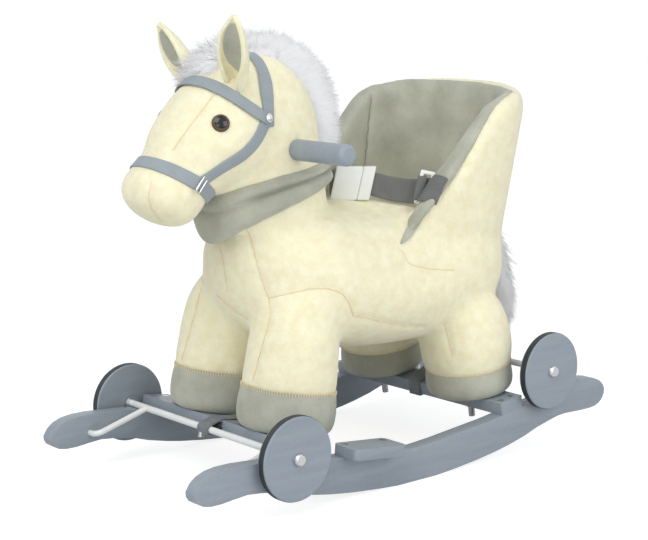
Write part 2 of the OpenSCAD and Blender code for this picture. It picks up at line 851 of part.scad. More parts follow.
// the belt's own frame: local X runs along the left half towards its turn
module at_belt() {
  translate([belt_x, 0, belt_z])
    rotate([0, 0, -belt_a])
      children();
}

module webbing(from, to) {
  translate([from, -belt_t/2, -belt_w/2])
    cube([to - from, belt_t, belt_w]);
}

// one module for each sub-part
module runner_left() {
  color("slategray") place() runner(1);
}

module runner_right() {
  color("slategray") place() runner(-1);
}

module front_crossbar() {
  color("slategray") place() crossbar(true);
}

module rear_crossbar() {
  color("slategray") place() crossbar(false);
}

module footrest_left() {
  color("slategray") place() footrest(1);
}

module footrest_right() {
  color("slategray") place() footrest(-1);
}

module base_screws() {
  color("silver") place() {
    at_bar_screws()
      wood_screw();
    at_foot_screws()
      wood_screw();
  }
}

module leg_bolts() {
  color("silver") place()
    for (front = [true, false], side = [-1, 1])
      post_axis(front, side)
        translate([0, 0, -bar_t - bolt_below])
          cylinder(r = bolt_r, h = bolt_l);
}

module leg_nuts() {
  color("silver") place()
    for (front = [true, false], side = [-1, 1])
      post_axis(front, side)
        translate([0, 0, -bar_t - nut_t])
          difference() {
            cylinder(d = nut_w/cos(30), h = nut_t, $fn = 6);
            translate([0, 0, -gap])
              cylinder(r = bolt_r, h = nut_t + 2*gap);
          }
}

module front_strap() {
  color("dimgray") place() tie(true);
}

module rear_strap() {
  color("dimgray") place() tie(false);
}

module front_axle_rod() {
  color("white") place() axle_rod(true);
}

module front_arm_left() {
  color("white") place() arm(true, 1);
}

module front_arm_right() {
  color("white") place() arm(true, -1);
}

module front_axle_fittings() {
  color("silver") place() axle_fittings(true);
}

module rear_axle_rod() {
  color("white") place() axle_rod(false);
}

module rear_arm_left() {
  color("white") place() arm(false, 1);
}

module rear_arm_right() {
  color("white") place() arm(false, -1);
}

module rear_axle_fittings() {
  color("silver") place() axle_fittings(false);
}

module wheel_front_left() {
  color("slategray") place() wheel(true, 1);
}

module wheel_front_right() {
  color("slategray") place() wheel(true, -1);
}

module wheel_rear_left() {
  color("slategray") place() wheel(false, 1);
}

module wheel_rear_right() {
  color("slategray") place() wheel(false, -1);
}

module tyre_front_left() {
  color("black") place() tyre(true, 1);
}

module tyre_front_right() {
  color("black") place() tyre(true, -1);
}

module tyre_rear_left() {
  color("black") place() tyre(false, 1);
}

module tyre_rear_right() {
  color("black") place() tyre(false, -1);
}

module leg_posts() {
  color("burlywood") place()
    for (front = [true, false], side = [-1, 1])
      difference() {
        post_bore(front, side);
        post_axis(front, side)
          translate([0, 0, -gap])
            cylinder(r = bolt_r, h = bolt_in + gap);
      }
}

module body_board() {
  color("burlywood") place() board();
}

module neck_post() {
  color("burlywood") place()
    difference() {
      neck_post_form();
      handle_bore();
    }
}

module back_board() {
  color("burlywood") place() back_board_form();
}

module body_plush() {
  color("linen") place()
    difference() {
      body_form();
      board();
      back_board_form(board_t/2);
      neck_post_form(board_t/2);
      for (front = [true, false], side = [-1, 1])
        post_bore(front, side, board_t/2);
    }
}

module neck_plush() {
  color("linen") place()
    difference() {
      neck_form(0);
      body_form();
      neck_post_form();
      handle_bore();
    }
}

module head_plush() {
  color("linen") place()
    difference() {
      head_form(0);
      neck_form(0);
      for (side = [-1, 1])
        eye_form(side);
    }
}

module leg_front_left() {
  color("linen") place() leg(true, 1);
}

module leg_front_right() {
  color("linen") place() leg(true, -1);
}

module leg_hind_left() {
  color("linen") place() leg(false, 1);
}

module leg_hind_right() {
  color("linen") place() leg(false, -1);
}

module hoof_front_left() {
  color("gray") place() hoof(true, 1);
}

module hoof_front_right() {
  color("gray") place() hoof(true, -1);
}

module hoof_hind_left() {
  color("gray") place() hoof(false, 1);
}

module hoof_hind_right() {
  color("gray") place() hoof(false, -1);
}

module mane() {
  color("lightgray") place()
    difference() {
      mane_form();
      neck_form(0);
      head_form(0);
    }
}

module tail() {
  color("lightgray") place()
    difference() {
      upright_form(flip_rows(tail_shares), ear_n, form_p, 0, 0);
      body_form();
      back_form(0);
    }
}

module ear_left() {
  color("linen") place() ear(1);
}

module ear_right() {
  color("linen") place() ear(-1);
}

module ear_linings() {
  color("gray") place()
    for (side = [-1, 1])
      ear_pocket(side);
}

module eyes() {
  color("saddlebrown") place()
    for (side = [-1, 1])
      eye_form(side);
}

module noseband() {
  color("steelblue") place()
    difference() {
      intersection() {
        head_form(strap_t);
        head_slab(noseband_share, strap_w);
      }
      head_form(0);
      neck_form(0);
    }
}

module headstall() {
  color("steelblue") place()
    difference() {
      union() {
        intersection() {
          head_form(strap_t);
          union() {
            intersection() {
              head_slab(browband_share, strap_w);
              brow_side();
            }
            cheek_slab();
          }
        }
        intersection() {
          union() {
            head_form(strap_t);
            neck_form(strap_t);
          }
          crown_slab();
        }
      }
      head_form(0);
      neck_form(0);
      mane_form();
      for (side = [-1, 1])
        at_ear(side)
          ear_form(ear_shares, 0);
    }
}

// round rivets at the browband and small plates on the noseband
module bridle_rivets() {
  color("silver") place()
    difference() {
      for (side = [-1, 1])
        at_head()
          mirror([0, side > 0 ? 0 : 1, 0]) {
            translate([head_l*cheek_share, 0, head_l*browband_share])
              rod_y(rivet_d/2, head_w/4, head_w*rivet_share);
            translate([head_l*cheek_share - strap_w*slider_plate_share, head_w/4,
              head_l*noseband_share - strap_w/6])
              cube([2*strap_w*slider_plate_share, head_w*bridle_slider_share - head_w/4, strap_w/3]);
          }
      head_form(strap_t);
      neck_form(strap_t);
    }
}

module scarf() {
  color("gray") place()
    difference() {
      intersection() {
        neck_form(scarf_t);
        along_y(points = [for (r = scarf_shares) [horse_l*r[0], horse_z(r[1])]], y = horse_w);
      }
      neck_form(0);
      body_form();
      head_form(strap_t + gap);
    }
}

// a dowel with two grips, a little thinner where the neck holds it
module handle() {
  edge = handle_d/8;
  grip = handle_d/2;
  core = grip - handle_step;
  color("slategray") place()
    translate([handle_x, 0, handle_z])
      rotate([-90, 0, 0])
        rotate_extrude()
          polygon([
            [0, -handle_l/2], [grip - edge, -handle_l/2], [grip, edge - handle_l/2], [grip, -grip_in],
            [core, -grip_in], [core, grip_in], [grip, grip_in], [grip, handle_l/2 - edge],
            [grip - edge, handle_l/2], [0, handle_l/2],
          ]);
}

module backrest_shell() {
  color("linen") place()
    difference() {
      intersection() {
        back_form(0);
        behind_rim();
      }
      back_form(back_wall);
      body_form();
      back_board_form();
    }
}

module seat_lining() {
  color("gray") place()
    difference() {
      intersection() {
        back_form(back_wall);
        behind_rim();
      }
      back_form(back_wall + lining_t);
      body_form();
      back_board_form();
    }
}

module belt_left() {
  color("dimgray") place()
    difference() {
      at_belt()
        webbing(-belt_end, -tongue_end - gap/3);
      lining_wall();
    }
}

module belt_right() {
  color("dimgray") place()
    difference() {
      union() {
        at_belt()
          webbing(-socket_end, 0);
        translate([belt_x, 0, belt_z - belt_w/2])
          cylinder(d = belt_t, h = belt_w);
        mirror([0, 1, 0])
          at_belt()
            webbing(-belt_end, 0);
      }
      lining_wall();
    }
}

// the lining as a closed wall that the webbing ends at
module lining_wall() {
  difference() {
    back_form(0);
    back_form(back_wall + lining_t);
    translate([-belt_back/2, -far/2, 0])
      cube([far, far, far]);
  }
}

module buckle_socket() {
  color("white") place()
    at_belt()
      difference() {
        translate([-socket_in, -socket_t/2, -buckle_h/2])
          cube([socket_l, socket_t, buckle_h]);
        translate([-socket_in - gap, -pocket_t/2 - gap, -pocket_w/2 - gap])
          cube([pocket_l + 2*gap, pocket_t + 2*gap, pocket_w + 2*gap]);
      }
}

module buckle_tongue() {
  color("white") place()
    at_belt() {
      translate([-tongue_end, -socket_t/2, -buckle_h/2])
        cube([tongue_l - gap, socket_t, buckle_h]);
      translate([-socket_in - 2*gap, -pocket_t/2, -pocket_w/2])
        cube([pocket_l + gap, pocket_t, pocket_w]);
    }
}

module belt_slider() {
  color("white") place()
    at_belt()
      difference() {
        translate([-slider_x - slider_l/2, -slider_t/2, -buckle_h/2])
          cube([slider_l, slider_t, buckle_h]);
        translate([-slider_x - slider_l, -belt_t/2 - gap, -belt_w/2 - gap])
          cube([2*slider_l, belt_t + 2*gap, belt_w + 2*gap]);
      }
}

runner_left();
runner_right();
front_crossbar();
rear_crossbar();
footrest_left();
footrest_right();
base_screws();
leg_bolts();
leg_nuts();
front_strap();
rear_strap();
front_axle_rod();
front_arm_left();
front_arm_right();
front_axle_fittings();
rear_axle_rod();
rear_arm_left();
rear_arm_right();
rear_axle_fittings();
wheel_front_left();
wheel_front_right();
wheel_rear_left();
wheel_rear_right();
tyre_front_left();
tyre_front_right();
tyre_rear_left();
tyre_rear_right();
leg_posts();
body_board();
neck_post();
back_board();
body_plush();
neck_plush();
head_plush();
leg_front_left();
leg_front_right();
leg_hind_left();
leg_hind_right();
hoof_front_left();
hoof_front_right();
hoof_hind_left();
hoof_hind_right();
mane();
tail();
ear_left();
ear_right();
ear_linings();
eyes();
noseband();
headstall();
bridle_rivets();
scarf();
handle();
backrest_shell();
seat_lining();
belt_left();
belt_right();
buckle_socket();
buckle_tongue();
belt_slider();
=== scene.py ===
# %% [markdown]
# A ride on horse on a wooden rocker with wheels.
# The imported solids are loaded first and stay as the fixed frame. Everything soft is then
# modelled again over them, and the hard pieces get eased edges and a finish of their own.
# All lengths are metres in the frame of the solids: X forwards, Y to the left, Z up.

# %% load the frame
import bpy
import math
import numpy as np
from mathutils import Matrix, Vector
from mathutils.bvhtree import BVHTree
from mathutils.kdtree import KDTree


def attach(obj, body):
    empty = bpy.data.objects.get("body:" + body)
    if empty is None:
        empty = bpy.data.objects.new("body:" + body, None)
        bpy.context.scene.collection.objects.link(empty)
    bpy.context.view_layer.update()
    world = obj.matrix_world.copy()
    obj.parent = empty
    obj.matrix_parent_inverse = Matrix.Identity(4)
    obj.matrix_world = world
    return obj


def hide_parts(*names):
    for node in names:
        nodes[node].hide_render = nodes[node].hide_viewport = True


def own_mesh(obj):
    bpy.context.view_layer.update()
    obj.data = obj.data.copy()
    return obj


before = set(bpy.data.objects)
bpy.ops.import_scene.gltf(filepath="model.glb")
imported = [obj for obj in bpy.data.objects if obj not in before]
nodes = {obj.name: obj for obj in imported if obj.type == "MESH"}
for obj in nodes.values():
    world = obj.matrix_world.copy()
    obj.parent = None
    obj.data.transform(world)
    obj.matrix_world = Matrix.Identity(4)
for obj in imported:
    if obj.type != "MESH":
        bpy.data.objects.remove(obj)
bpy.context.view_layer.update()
scene = bpy.context.scene

# %% [markdown]
# The camera stands in front of the left shoulder, a little above the saddle.
# Its place was found from the wheels and the runners, so the pieces need no fitting later.

# %% camera
CAMERA_PLACE = Vector((1.2770, 1.4757, 0.5654))
CAMERA_RIGHT = Vector((-0.7613, 0.6484, 0.0))
CAMERA_UP = Vector((-0.1108, -0.1301, 0.9853))
CAMERA_LOOK = Vector((-0.6388, -0.7501, -0.1709))
LENS = 91.11
SENSOR = 36.0
PHOTO_WIDTH = 648
PHOTO_HEIGHT = 540

camera_data = bpy.data.cameras.new("camera")
camera_data.lens = LENS
camera_data.sensor_width = SENSOR
camera = bpy.data.objects.new("camera", camera_data)
scene.collection.objects.link(camera)
turn = Matrix((CAMERA_RIGHT, CAMERA_UP, -CAMERA_LOOK)).transposed().to_4x4()
camera.matrix_world = Matrix.Translation(CAMERA_PLACE) @ turn
scene.camera = camera
scene.view_settings.view_transform = "Standard"


def sight(px, py):
    """The direction from the camera through a place in the picture."""
    across = (px - PHOTO_WIDTH / 2) / PHOTO_WIDTH * SENSOR / LENS
    up = (PHOTO_HEIGHT / 2 - py) / PHOTO_WIDTH * SENSOR / LENS
    return (CAMERA_LOOK + CAMERA_RIGHT * across + CAMERA_UP * up).normalized()


print("camera", tuple(round(v, 3) for v in camera.location))

# %% [markdown]
# The light is a plain studio: a pale floor, a soft key lamp high in front, a fill from the
# left side, a low lamp beside the camera and an even sky. A few large lamps give the soft
# shadows of a product picture and leave the colours as they are written. The white
# background is only for what the camera, mirrors and glass see, so it puts no extra light
# on the horse.

# %% selecting and editing
def clear_selection():
    """Leaves edit mode and deselects everything, so an operator acts on one piece only."""
    active = bpy.context.view_layer.objects.active
    if active is not None and active.mode != "OBJECT":
        bpy.ops.object.mode_set(mode="OBJECT")
    bpy.ops.object.select_all(action="DESELECT")


def pick(obj):
    """Makes one object the only selected and the active one."""
    clear_selection()
    obj.select_set(True)
    bpy.context.view_layer.objects.active = obj
    return obj


def open_edit(obj):
    """Edit mode on one piece, with all of it selected."""
    pick(obj)
    bpy.ops.object.mode_set(mode="EDIT")
    bpy.ops.mesh.select_all(action="SELECT")


def close_edit():
    """Back to object mode, which writes the edit into the mesh."""
    bpy.ops.object.mode_set(mode="OBJECT")


clear_selection()
print("pieces still selected:", len(bpy.context.selected_objects))

# %% floor
FLOOR_SIZE = 40
WHITE = (1, 1, 1, 1)


def shader_node(tree, kind, **values):
    """A new shader node with some of its inputs set."""
    node = tree.nodes.new("ShaderNode" + kind)
    for title, value in values.items():
        node.inputs[title.replace("_", " ")].default_value = value
    return node


def wire(tree, *pairs):
    """Links an output to an input, for each pair."""
    for output, target in pairs:
        tree.links.new(output, target)


def empty_tree(owner):
    """The node tree of a material or a world, with nothing in it yet."""
    owner.use_nodes = True
    owner.node_tree.nodes.clear()
    return owner.node_tree


clear_selection()
bpy.ops.mesh.primitive_plane_add(size=FLOOR_SIZE, location=(0, 0, 0))
floor = bpy.context.object
floor.name = "floor"
open_edit(floor)
bpy.ops.mesh.subdivide(number_cuts=3)
close_edit()

floor_finish = bpy.data.materials.new("pale_floor")
tree = empty_tree(floor_finish)
out = shader_node(tree, "OutputMaterial")
paper = shader_node(tree, "BsdfDiffuse", Color=(0.80, 0.80, 0.80, 1))
shown = shader_node(tree, "BsdfDiffuse", Color=(0.40, 0.40, 0.40, 1))
glow = shader_node(tree, "Emission", Color=WHITE, Strength=0.80)
both = shader_node(tree, "AddShader")
path = shader_node(tree, "LightPath")
choose = shader_node(tree, "MixShader")
wire(tree, (shown.outputs[0], both.inputs[0]), (glow.outputs[0], both.inputs[1]),
     (path.outputs["Is Camera Ray"], choose.inputs[0]), (paper.outputs[0], choose.inputs[1]),
     (both.outputs[0], choose.inputs[2]), (choose.outputs[0], out.inputs["Surface"]))
floor.data.materials.append(floor_finish)
print("floor faces", len(floor.data.polygons))

# %% sky
def calc(tree, operation, a, b=None, c=None):
    """A Math node. Each of a, b and c is a number or an output socket."""
    node = tree.nodes.new("ShaderNodeMath")
    node.operation = operation
    for i, value in enumerate((a, b, c)):
        if value is None:
            continue
        if hasattr(value, "is_linked"):
            tree.links.new(value, node.inputs[i])
        else:
            node.inputs[i].default_value = value
    return node.outputs[0]


sky = bpy.data.worlds.new("sky")
scene.world = sky
tree = empty_tree(sky)
out = shader_node(tree, "OutputWorld")
even = shader_node(tree, "Background", Color=(0.93, 0.96, 1.0, 1), Strength=0.57)
white = shader_node(tree, "Background", Color=WHITE, Strength=1.0)
path = shader_node(tree, "LightPath")
seen = calc(tree, "MAXIMUM", path.outputs["Is Camera Ray"], path.outputs["Is Glossy Ray"])
seen = calc(tree, "MAXIMUM", seen, path.outputs["Is Transmission Ray"])
choose = shader_node(tree, "MixShader")
wire(tree, (seen, choose.inputs[0]), (even.outputs[0], choose.inputs[1]),
     (white.outputs[0], choose.inputs[2]), (choose.outputs[0], out.inputs["Surface"]))
print("sky nodes", len(tree.nodes))

# %% lamps
HORSE_MIDDLE = (0.0, 0.0, 0.25)
LAMPS = [("key_lamp", (1.5, 0.4, 2.1), 1.6, 24), ("fill_lamp", (-0.5, 2.4, 1.2), 1.8, 22),
         ("front_lamp", (2.6, 1.9, 0.6), 1.6, 13)]


def lamp(name, place, target, size, power):
    """A square soft lamp that faces a point of the horse."""
    data = bpy.data.lights.new(name, "AREA")
    data.shape = "SQUARE"
    data.size = size
    data.energy = power
    obj = bpy.data.objects.new(name, data)
    scene.collection.objects.link(obj)
    obj.location = place
    aim = Vector(target) - Vector(place)
    obj.rotation_euler = aim.to_track_quat("-Z", "Y").to_euler()
    return obj


for name, place, size, power in LAMPS:
    lamp(name, place, HORSE_MIDDLE, size, power)
print("lamps", [row[0] for row in LAMPS])

# %% [markdown]
# The finishes come before the pieces, so each piece gets its material when it is made.
# Effects that several finishes share are node groups: the nap of plush and suede, the
# weave of straps, and the streaks of brushed paint over wood. A group only puts out a tone
# and a height, and every shader value that is the same all over stays on the shader.

# %% making node groups
def new_group(name, inputs, outputs):
    """An empty shader node group with number inputs and outputs."""
    group = bpy.data.node_groups.new(name, "ShaderNodeTree")
    for title, value in inputs:
        socket = group.interface.new_socket(title, in_out="INPUT", socket_type="NodeSocketFloat")
        socket.default_value = value
    for title in outputs:
        group.interface.new_socket(title, in_out="OUTPUT", socket_type="NodeSocketFloat")
    start = group.nodes.new("NodeGroupInput")
    end = group.nodes.new("NodeGroupOutput")
    return group, start, end


def noise(tree, vector, scale, detail=3.0, rough=0.55):
    """A Noise texture, with its scale from a number or a socket."""
    node = tree.nodes.new("ShaderNodeTexNoise")
    tree.links.new(vector, node.inputs["Vector"])
    if hasattr(scale, "is_linked"):
        tree.links.new(scale, node.inputs["Scale"])
    else:
        node.inputs["Scale"].default_value = scale
    node.inputs["Detail"].default_value = detail
    node.inputs["Roughness"].default_value = rough
    return node.outputs["Fac"]


print("group maker ready")

# %% nap of plush and suede
nap, start, end = new_group(
    "short_nap", [("Fibre", 800.0), ("Patch", 22.0), ("Patch Share", 0.5)], ["Tone", "Height"])
coords = nap.nodes.new("ShaderNodeTexCoord").outputs["Object"]
fibre = noise(nap, coords, start.outputs["Fibre"], 4.0, 0.65)
patch = noise(nap, coords, start.outputs["Patch"], 3.0, 0.5)
tuft = noise(nap, coords, calc(nap, "MULTIPLY", start.outputs["Fibre"], 0.22), 2.0, 0.6)
mixed = calc(nap, "ADD",
             calc(nap, "MULTIPLY", patch, start.outputs["Patch Share"]),
             calc(nap, "MULTIPLY", calc(nap, "ADD", calc(nap, "MULTIPLY", fibre, 0.5),
                                        calc(nap, "MULTIPLY", tuft, 0.5)),
                  calc(nap, "SUBTRACT", 1.0, start.outputs["Patch Share"])))
nap.links.new(mixed, end.inputs["Tone"])
nap.links.new(calc(nap, "ADD", fibre, calc(nap, "MULTIPLY", tuft, 0.8)), end.inputs["Height"])
print("effect:", nap.name)

# %% weave of straps
weave, start, end = new_group(
    "strap_weave", [("Ribs Along", 3000.0), ("Ribs Across", 2200.0)], ["Tone", "Height"])
flat = weave.nodes.new("ShaderNodeTexCoord").outputs["UV"]
apart = weave.nodes.new("ShaderNodeSeparateXYZ")
weave.links.new(flat, apart.inputs[0])
along = calc(weave, "MULTIPLY", apart.outputs[0], start.outputs["Ribs Along"])
across = calc(weave, "MULTIPLY", apart.outputs[1], start.outputs["Ribs Across"])
warp = calc(weave, "SINE", calc(weave, "ADD", along, across))
weft = calc(weave, "SINE", calc(weave, "SUBTRACT", across, along))
cross = calc(weave, "MULTIPLY_ADD", calc(weave, "MULTIPLY", warp, weft), 0.5, 0.5)
ribs = calc(weave, "MULTIPLY_ADD", calc(weave, "SINE", across), 0.5, 0.5)
over = calc(weave, "ADD", calc(weave, "MULTIPLY", cross, 0.6),
            calc(weave, "MULTIPLY", ribs, 0.4))
weave.links.new(over, end.inputs["Height"])
cloud = noise(weave, weave.nodes.new("ShaderNodeTexCoord").outputs["Object"], 60.0, 3.0, 0.5)
weave.links.new(calc(weave, "ADD", calc(weave, "MULTIPLY", over, 0.65),
                     calc(weave, "MULTIPLY", cloud, 0.35)), end.inputs["Tone"])
print("effect:", weave.name)

# %% brushed grain
brush, start, end = new_group(
    "brushed_grain", [("Streak", 90.0), ("Long", 6.0), ("Speck", 260.0)], ["Tone", "Height"])
coords = brush.nodes.new("ShaderNodeTexCoord").outputs["Object"]
stretch = brush.nodes.new("ShaderNodeCombineXYZ")
apart = brush.nodes.new("ShaderNodeSeparateXYZ")
brush.links.new(coords, apart.inputs[0])
for axis, title in enumerate(("Long", "Streak", "Streak")):
    brush.links.new(calc(brush, "MULTIPLY", apart.outputs[axis], start.outputs[title]),
                    stretch.inputs[axis])
streak = noise(brush, stretch.outputs[0], 1.0, 4.0, 0.6)
speck = noise(brush, coords, start.outputs["Speck"], 3.0, 0.6)
brush.links.new(calc(brush, "ADD", calc(brush, "MULTIPLY", streak, 0.7),
                     calc(brush, "MULTIPLY", speck, 0.3)), end.inputs["Tone"])
brush.links.new(calc(brush, "ADD", streak, calc(brush, "MULTIPLY", speck, 0.35)),
                end.inputs["Height"])
print("effect:", brush.name)

# %% finish maker
GLOSS_SWING = 0.07


def two_tone(tree, low, high, dark, light):
    """A colour ramp that runs from dark to light."""
    ramp = tree.nodes.new("ShaderNodeValToRGB")
    ends = ramp.color_ramp.elements
    ends[0].position = low
    ends[1].position = high
    ends[0].color = (*dark, 1)
    ends[1].color = (*light, 1)
    return ramp


def finish(name, group, settings, dark, light, rough, bump, depth, low=0.3, high=0.7, **fixed):
    """A material whose colour runs from dark to light with the group's tone."""
    material = bpy.data.materials.new(name)
    material.use_nodes = True
    tree = material.node_tree
    shader = tree.nodes["Principled BSDF"]
    effect = tree.nodes.new("ShaderNodeGroup")
    effect.node_tree = group
    for title, value in settings.items():
        effect.inputs[title].default_value = value
    ramp = two_tone(tree, low, high, dark, light)
    tree.links.new(effect.outputs["Tone"], ramp.inputs["Fac"])
    tree.links.new(ramp.outputs["Color"], shader.inputs["Base Color"])
    gloss = tree.nodes.new("ShaderNodeMapRange")
    gloss.inputs["From Min"].default_value = low
    gloss.inputs["From Max"].default_value = high
    gloss.inputs["To Min"].default_value = min(1.0, rough + GLOSS_SWING)
    gloss.inputs["To Max"].default_value = max(0.05, rough - GLOSS_SWING)
    tree.links.new(effect.outputs["Tone"], gloss.inputs["Value"])
    tree.links.new(gloss.outputs["Result"], shader.inputs["Roughness"])
    relief = tree.nodes.new("ShaderNodeBump")
    relief.inputs["Strength"].default_value = bump
    relief.inputs["Distance"].default_value = depth
    tree.links.new(effect.outputs["Height"], relief.inputs["Height"])
    tree.links.new(relief.outputs["Normal"], shader.inputs["Normal"])
    for title, value in fixed.items():
        shader.inputs[title.replace("_", " ")].default_value = value
    return material


print("finish maker ready")

# %% finishes
cream_plush = finish("cream_plush", nap, {"Fibre": 560.0, "Patch": 75.0, "Patch Share": 0.5},
                     (0.845, 0.775, 0.525), (0.925, 0.880, 0.650), 0.86, 0.55, 0.0016,
                     0.36, 0.62, Sheen_Weight=0.35, Sheen_Roughness=0.5,
                     Sheen_Tint=(1.0, 0.97, 0.88, 1), Specular_IOR_Level=0.15,
                     Subsurface_Weight=0.2, Subsurface_Radius=(1.0, 0.55, 0.25),
                     Subsurface_Scale=0.012)
grey_suede = finish("grey_suede", nap, {"Fibre": 1200.0, "Patch": 26.0, "Patch Share": 0.7},
                    (0.365, 0.368, 0.298), (0.495, 0.500, 0.415), 0.85, 0.35, 0.0008,
                    0.36, 0.64, Sheen_Weight=0.35, Sheen_Roughness=0.45,
                    Sheen_Tint=(0.96, 0.98, 0.92, 1), Specular_IOR_Level=0.15)
painted_wood = finish("painted_wood", brush, {"Streak": 70.0, "Long": 7.0, "Speck": 300.0},
                      (0.238, 0.276, 0.318), (0.300, 0.342, 0.388), 0.45, 0.12, 0.0006,
                      Coat_Weight=0.12, Coat_Roughness=0.35)
blue_strap = finish("blue_strap", weave, {"Ribs Along": 2600.0, "Ribs Across": 2600.0},
                    (0.225, 0.262, 0.285), (0.345, 0.388, 0.408), 0.72, 0.35, 0.0005,
                    0.25, 0.75, Sheen_Weight=0.15)
grey_webbing = finish("grey_webbing", weave, {"Ribs Along": 2400.0, "Ribs Across": 2900.0},
                      (0.105, 0.108, 0.106), (0.180, 0.185, 0.182), 0.75, 0.5, 0.0007,
                      0.25, 0.75, Sheen_Weight=0.12)
white_plastic = finish("white_plastic", nap, {"Fibre": 500.0, "Patch": 30.0, "Patch Share": 0.8},
                       (0.74, 0.76, 0.73), (0.83, 0.845, 0.82), 0.34, 0.05, 0.0003)
white_steel = finish("white_steel", nap, {"Fibre": 350.0, "Patch": 14.0, "Patch Share": 0.7},
                     (0.70, 0.71, 0.70), (0.82, 0.83, 0.82), 0.38, 0.10, 0.0004,
                     Coat_Weight=0.2)
black_rubber = finish("black_rubber", nap, {"Fibre": 500.0, "Patch": 40.0, "Patch Share": 0.6},
                      (0.012, 0.015, 0.016), (0.034, 0.041, 0.043), 0.6, 0.25, 0.0006)
bright_steel = finish("bright_steel", nap, {"Fibre": 300.0, "Patch": 30.0, "Patch Share": 0.5},
                      (0.50, 0.51, 0.52), (0.70, 0.71, 0.72), 0.28, 0.08, 0.0003,
                      Metallic=1.0)
chrome = finish("chrome", nap, {"Fibre": 120.0, "Patch": 20.0, "Patch Share": 0.6},
                (0.66, 0.66, 0.67), (0.82, 0.82, 0.83), 0.16, 0.03, 0.0003, Metallic=1.0)
bare_wood = finish("bare_wood", brush, {"Streak": 120.0, "Long": 9.0, "Speck": 400.0},
                   (0.50, 0.35, 0.19), (0.70, 0.53, 0.33), 0.6, 0.3, 0.0006)
seam_thread = finish("seam_thread", nap, {"Fibre": 700.0, "Patch": 80.0, "Patch Share": 0.4},
                     (0.76, 0.59, 0.35), (0.88, 0.73, 0.48), 0.8, 0.2, 0.0005)
# The lining's seam thread is dark grey, darker than the suede, to paint the shade in the crease of
# each seam.
seam_shade_thread = finish("seam_shade_thread", nap, {"Fibre": 700.0, "Patch": 80.0, "Patch Share": 0.4},
                     (0.19, 0.19, 0.155), (0.28, 0.28, 0.235), 0.8, 0.2, 0.0005)
print("finishes", [finish_made.name for finish_made in bpy.data.materials])

# %% [markdown]
# The hard pieces keep the shape of their solids. Sawn boards and turned wood are never
# sharp. They could be modelled again, but a copy of each solid with a bevel on its sharp
# edges is exact and quick. The rods, fittings and rubber rings only need a finish.

# %% eased copies
ROOT = "horse_and_base"
MERGE = 1e-6
FLAT_TURN = math.radians(1.0)
SHARP_TURN = math.radians(40)
SMOOTH_TURN = math.radians(35)
EASE_STEPS = 3


def apply_new(obj, kind, **settings):
    """Adds one modifier, sets it and applies it."""
    pick(obj)
    bpy.ops.object.modifier_add(type=kind)
    mod = obj.modifiers[-1]
    for title, value in settings.items():
        setattr(mod, title, value)
    bpy.ops.object.modifier_apply(modifier=mod.name)


def dress(obj, material, slot, *replaced, body=ROOT):
    """Gives a piece its material and its body, and hides the nodes it stands for. The slot is not
    used.
    """
    obj.data.materials.clear()
    obj.data.materials.append(material)
    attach(obj, body)
    if replaced:
        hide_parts(*replaced)
    return obj


def eased_copy(node, width, material, slot, body=ROOT):
    """A merged copy of a node's mesh with its sharp edges rounded."""
    obj = bpy.data.objects.new(node + "_eased", nodes[node].data.copy())
    scene.collection.objects.link(obj)
    open_edit(obj)
    bpy.ops.mesh.remove_doubles(threshold=MERGE)
    bpy.ops.mesh.dissolve_limited(angle_limit=FLAT_TURN)
    close_edit()
    apply_new(obj, "BEVEL", width=width, segments=EASE_STEPS, limit_method="ANGLE",
              angle_limit=SHARP_TURN, use_clamp_overlap=True)
    bpy.ops.object.shade_smooth_by_angle(angle=SMOOTH_TURN)
    return dress(obj, material, slot, node, body=body)


BOARD_EASE = 0.0024
DOWEL_EASE = 0.0028
for name in ("runner_left", "runner_right", "front_crossbar", "rear_crossbar",
             "footrest_left", "footrest_right"):
    eased_copy(name, BOARD_EASE, painted_wood, "painted_wood")
eased_copy("handle", DOWEL_EASE, painted_wood, "painted_wood")
print("eased boards and handle")

# %% finishes of the nodes that keep their shape
NODE_FINISHES = [(("wheel_",), painted_wood), (("tyre",), black_rubber),
                 (("rod", "arm"), white_steel), (("fittings",), chrome),
                 (("screw", "bolt", "nut"), bright_steel), (("board", "post"), bare_wood)]
for name, node in nodes.items():
    for words, material in NODE_FINISHES:
        if any(word in name for word in words):
            for place in node.material_slots:
                place.material = material
            break
print("node names", sorted(nodes))

# %% [markdown]
# The board inside the backrest isn't seen, so its size is a guess. The copy of its solid is
# drawn thinner towards its inner face and narrower, so that the stuffed wall closes over
# it. Moving its points in code keeps the eased edges.

# %% slim back board
BOARD_SLIM = 0.45
BOARD_NARROW = 0.8
THIN_EASE = 0.0008
board = eased_copy("back_board", THIN_EASE, bare_wood, "plain_wood")
wide_face = max(board.data.polygons, key=lambda face: (round(face.normal.x, 3) > 0) * face.area)
inner_spot, inner_way = wide_face.center.copy(), wide_face.normal.copy()
for corner in board.data.vertices:
    corner.co -= inner_way * (corner.co - inner_spot).dot(inner_way) * (1 - BOARD_SLIM)
    corner.co.y *= BOARD_NARROW
print("back board inner face", [round(v, 3) for v in inner_spot],
      [round(v, 2) for v in inner_way])

# %% [markdown]
# The stuffed skin is one sewn cover, so it is modelled as one form. It could be sculpted from
# one block, but rings are easy to measure: each part is a stack of them, with a flat grid
# wrapped round and closed. The parts are joined, remeshed and smoothed into each other, as
# fabric bridges the creases, and then filled like a toy.

# %% tables and curves
# The drawing is in millimetres. The frame lies SHIFT metres further forward than it, and
# the crossbars are placed and tilted as in the solids.
SHIFT = 0.006996
BAR_X = 158.994
BAR_Z = 55.7535
BAR_TOP = 15.0
BAR_TILT = math.radians(8.52675)


def at(points):
    """Design millimetres to metres in the frame."""
    points = np.asarray(points, float) / 1000.0
    points[..., 0] += SHIFT
    return points


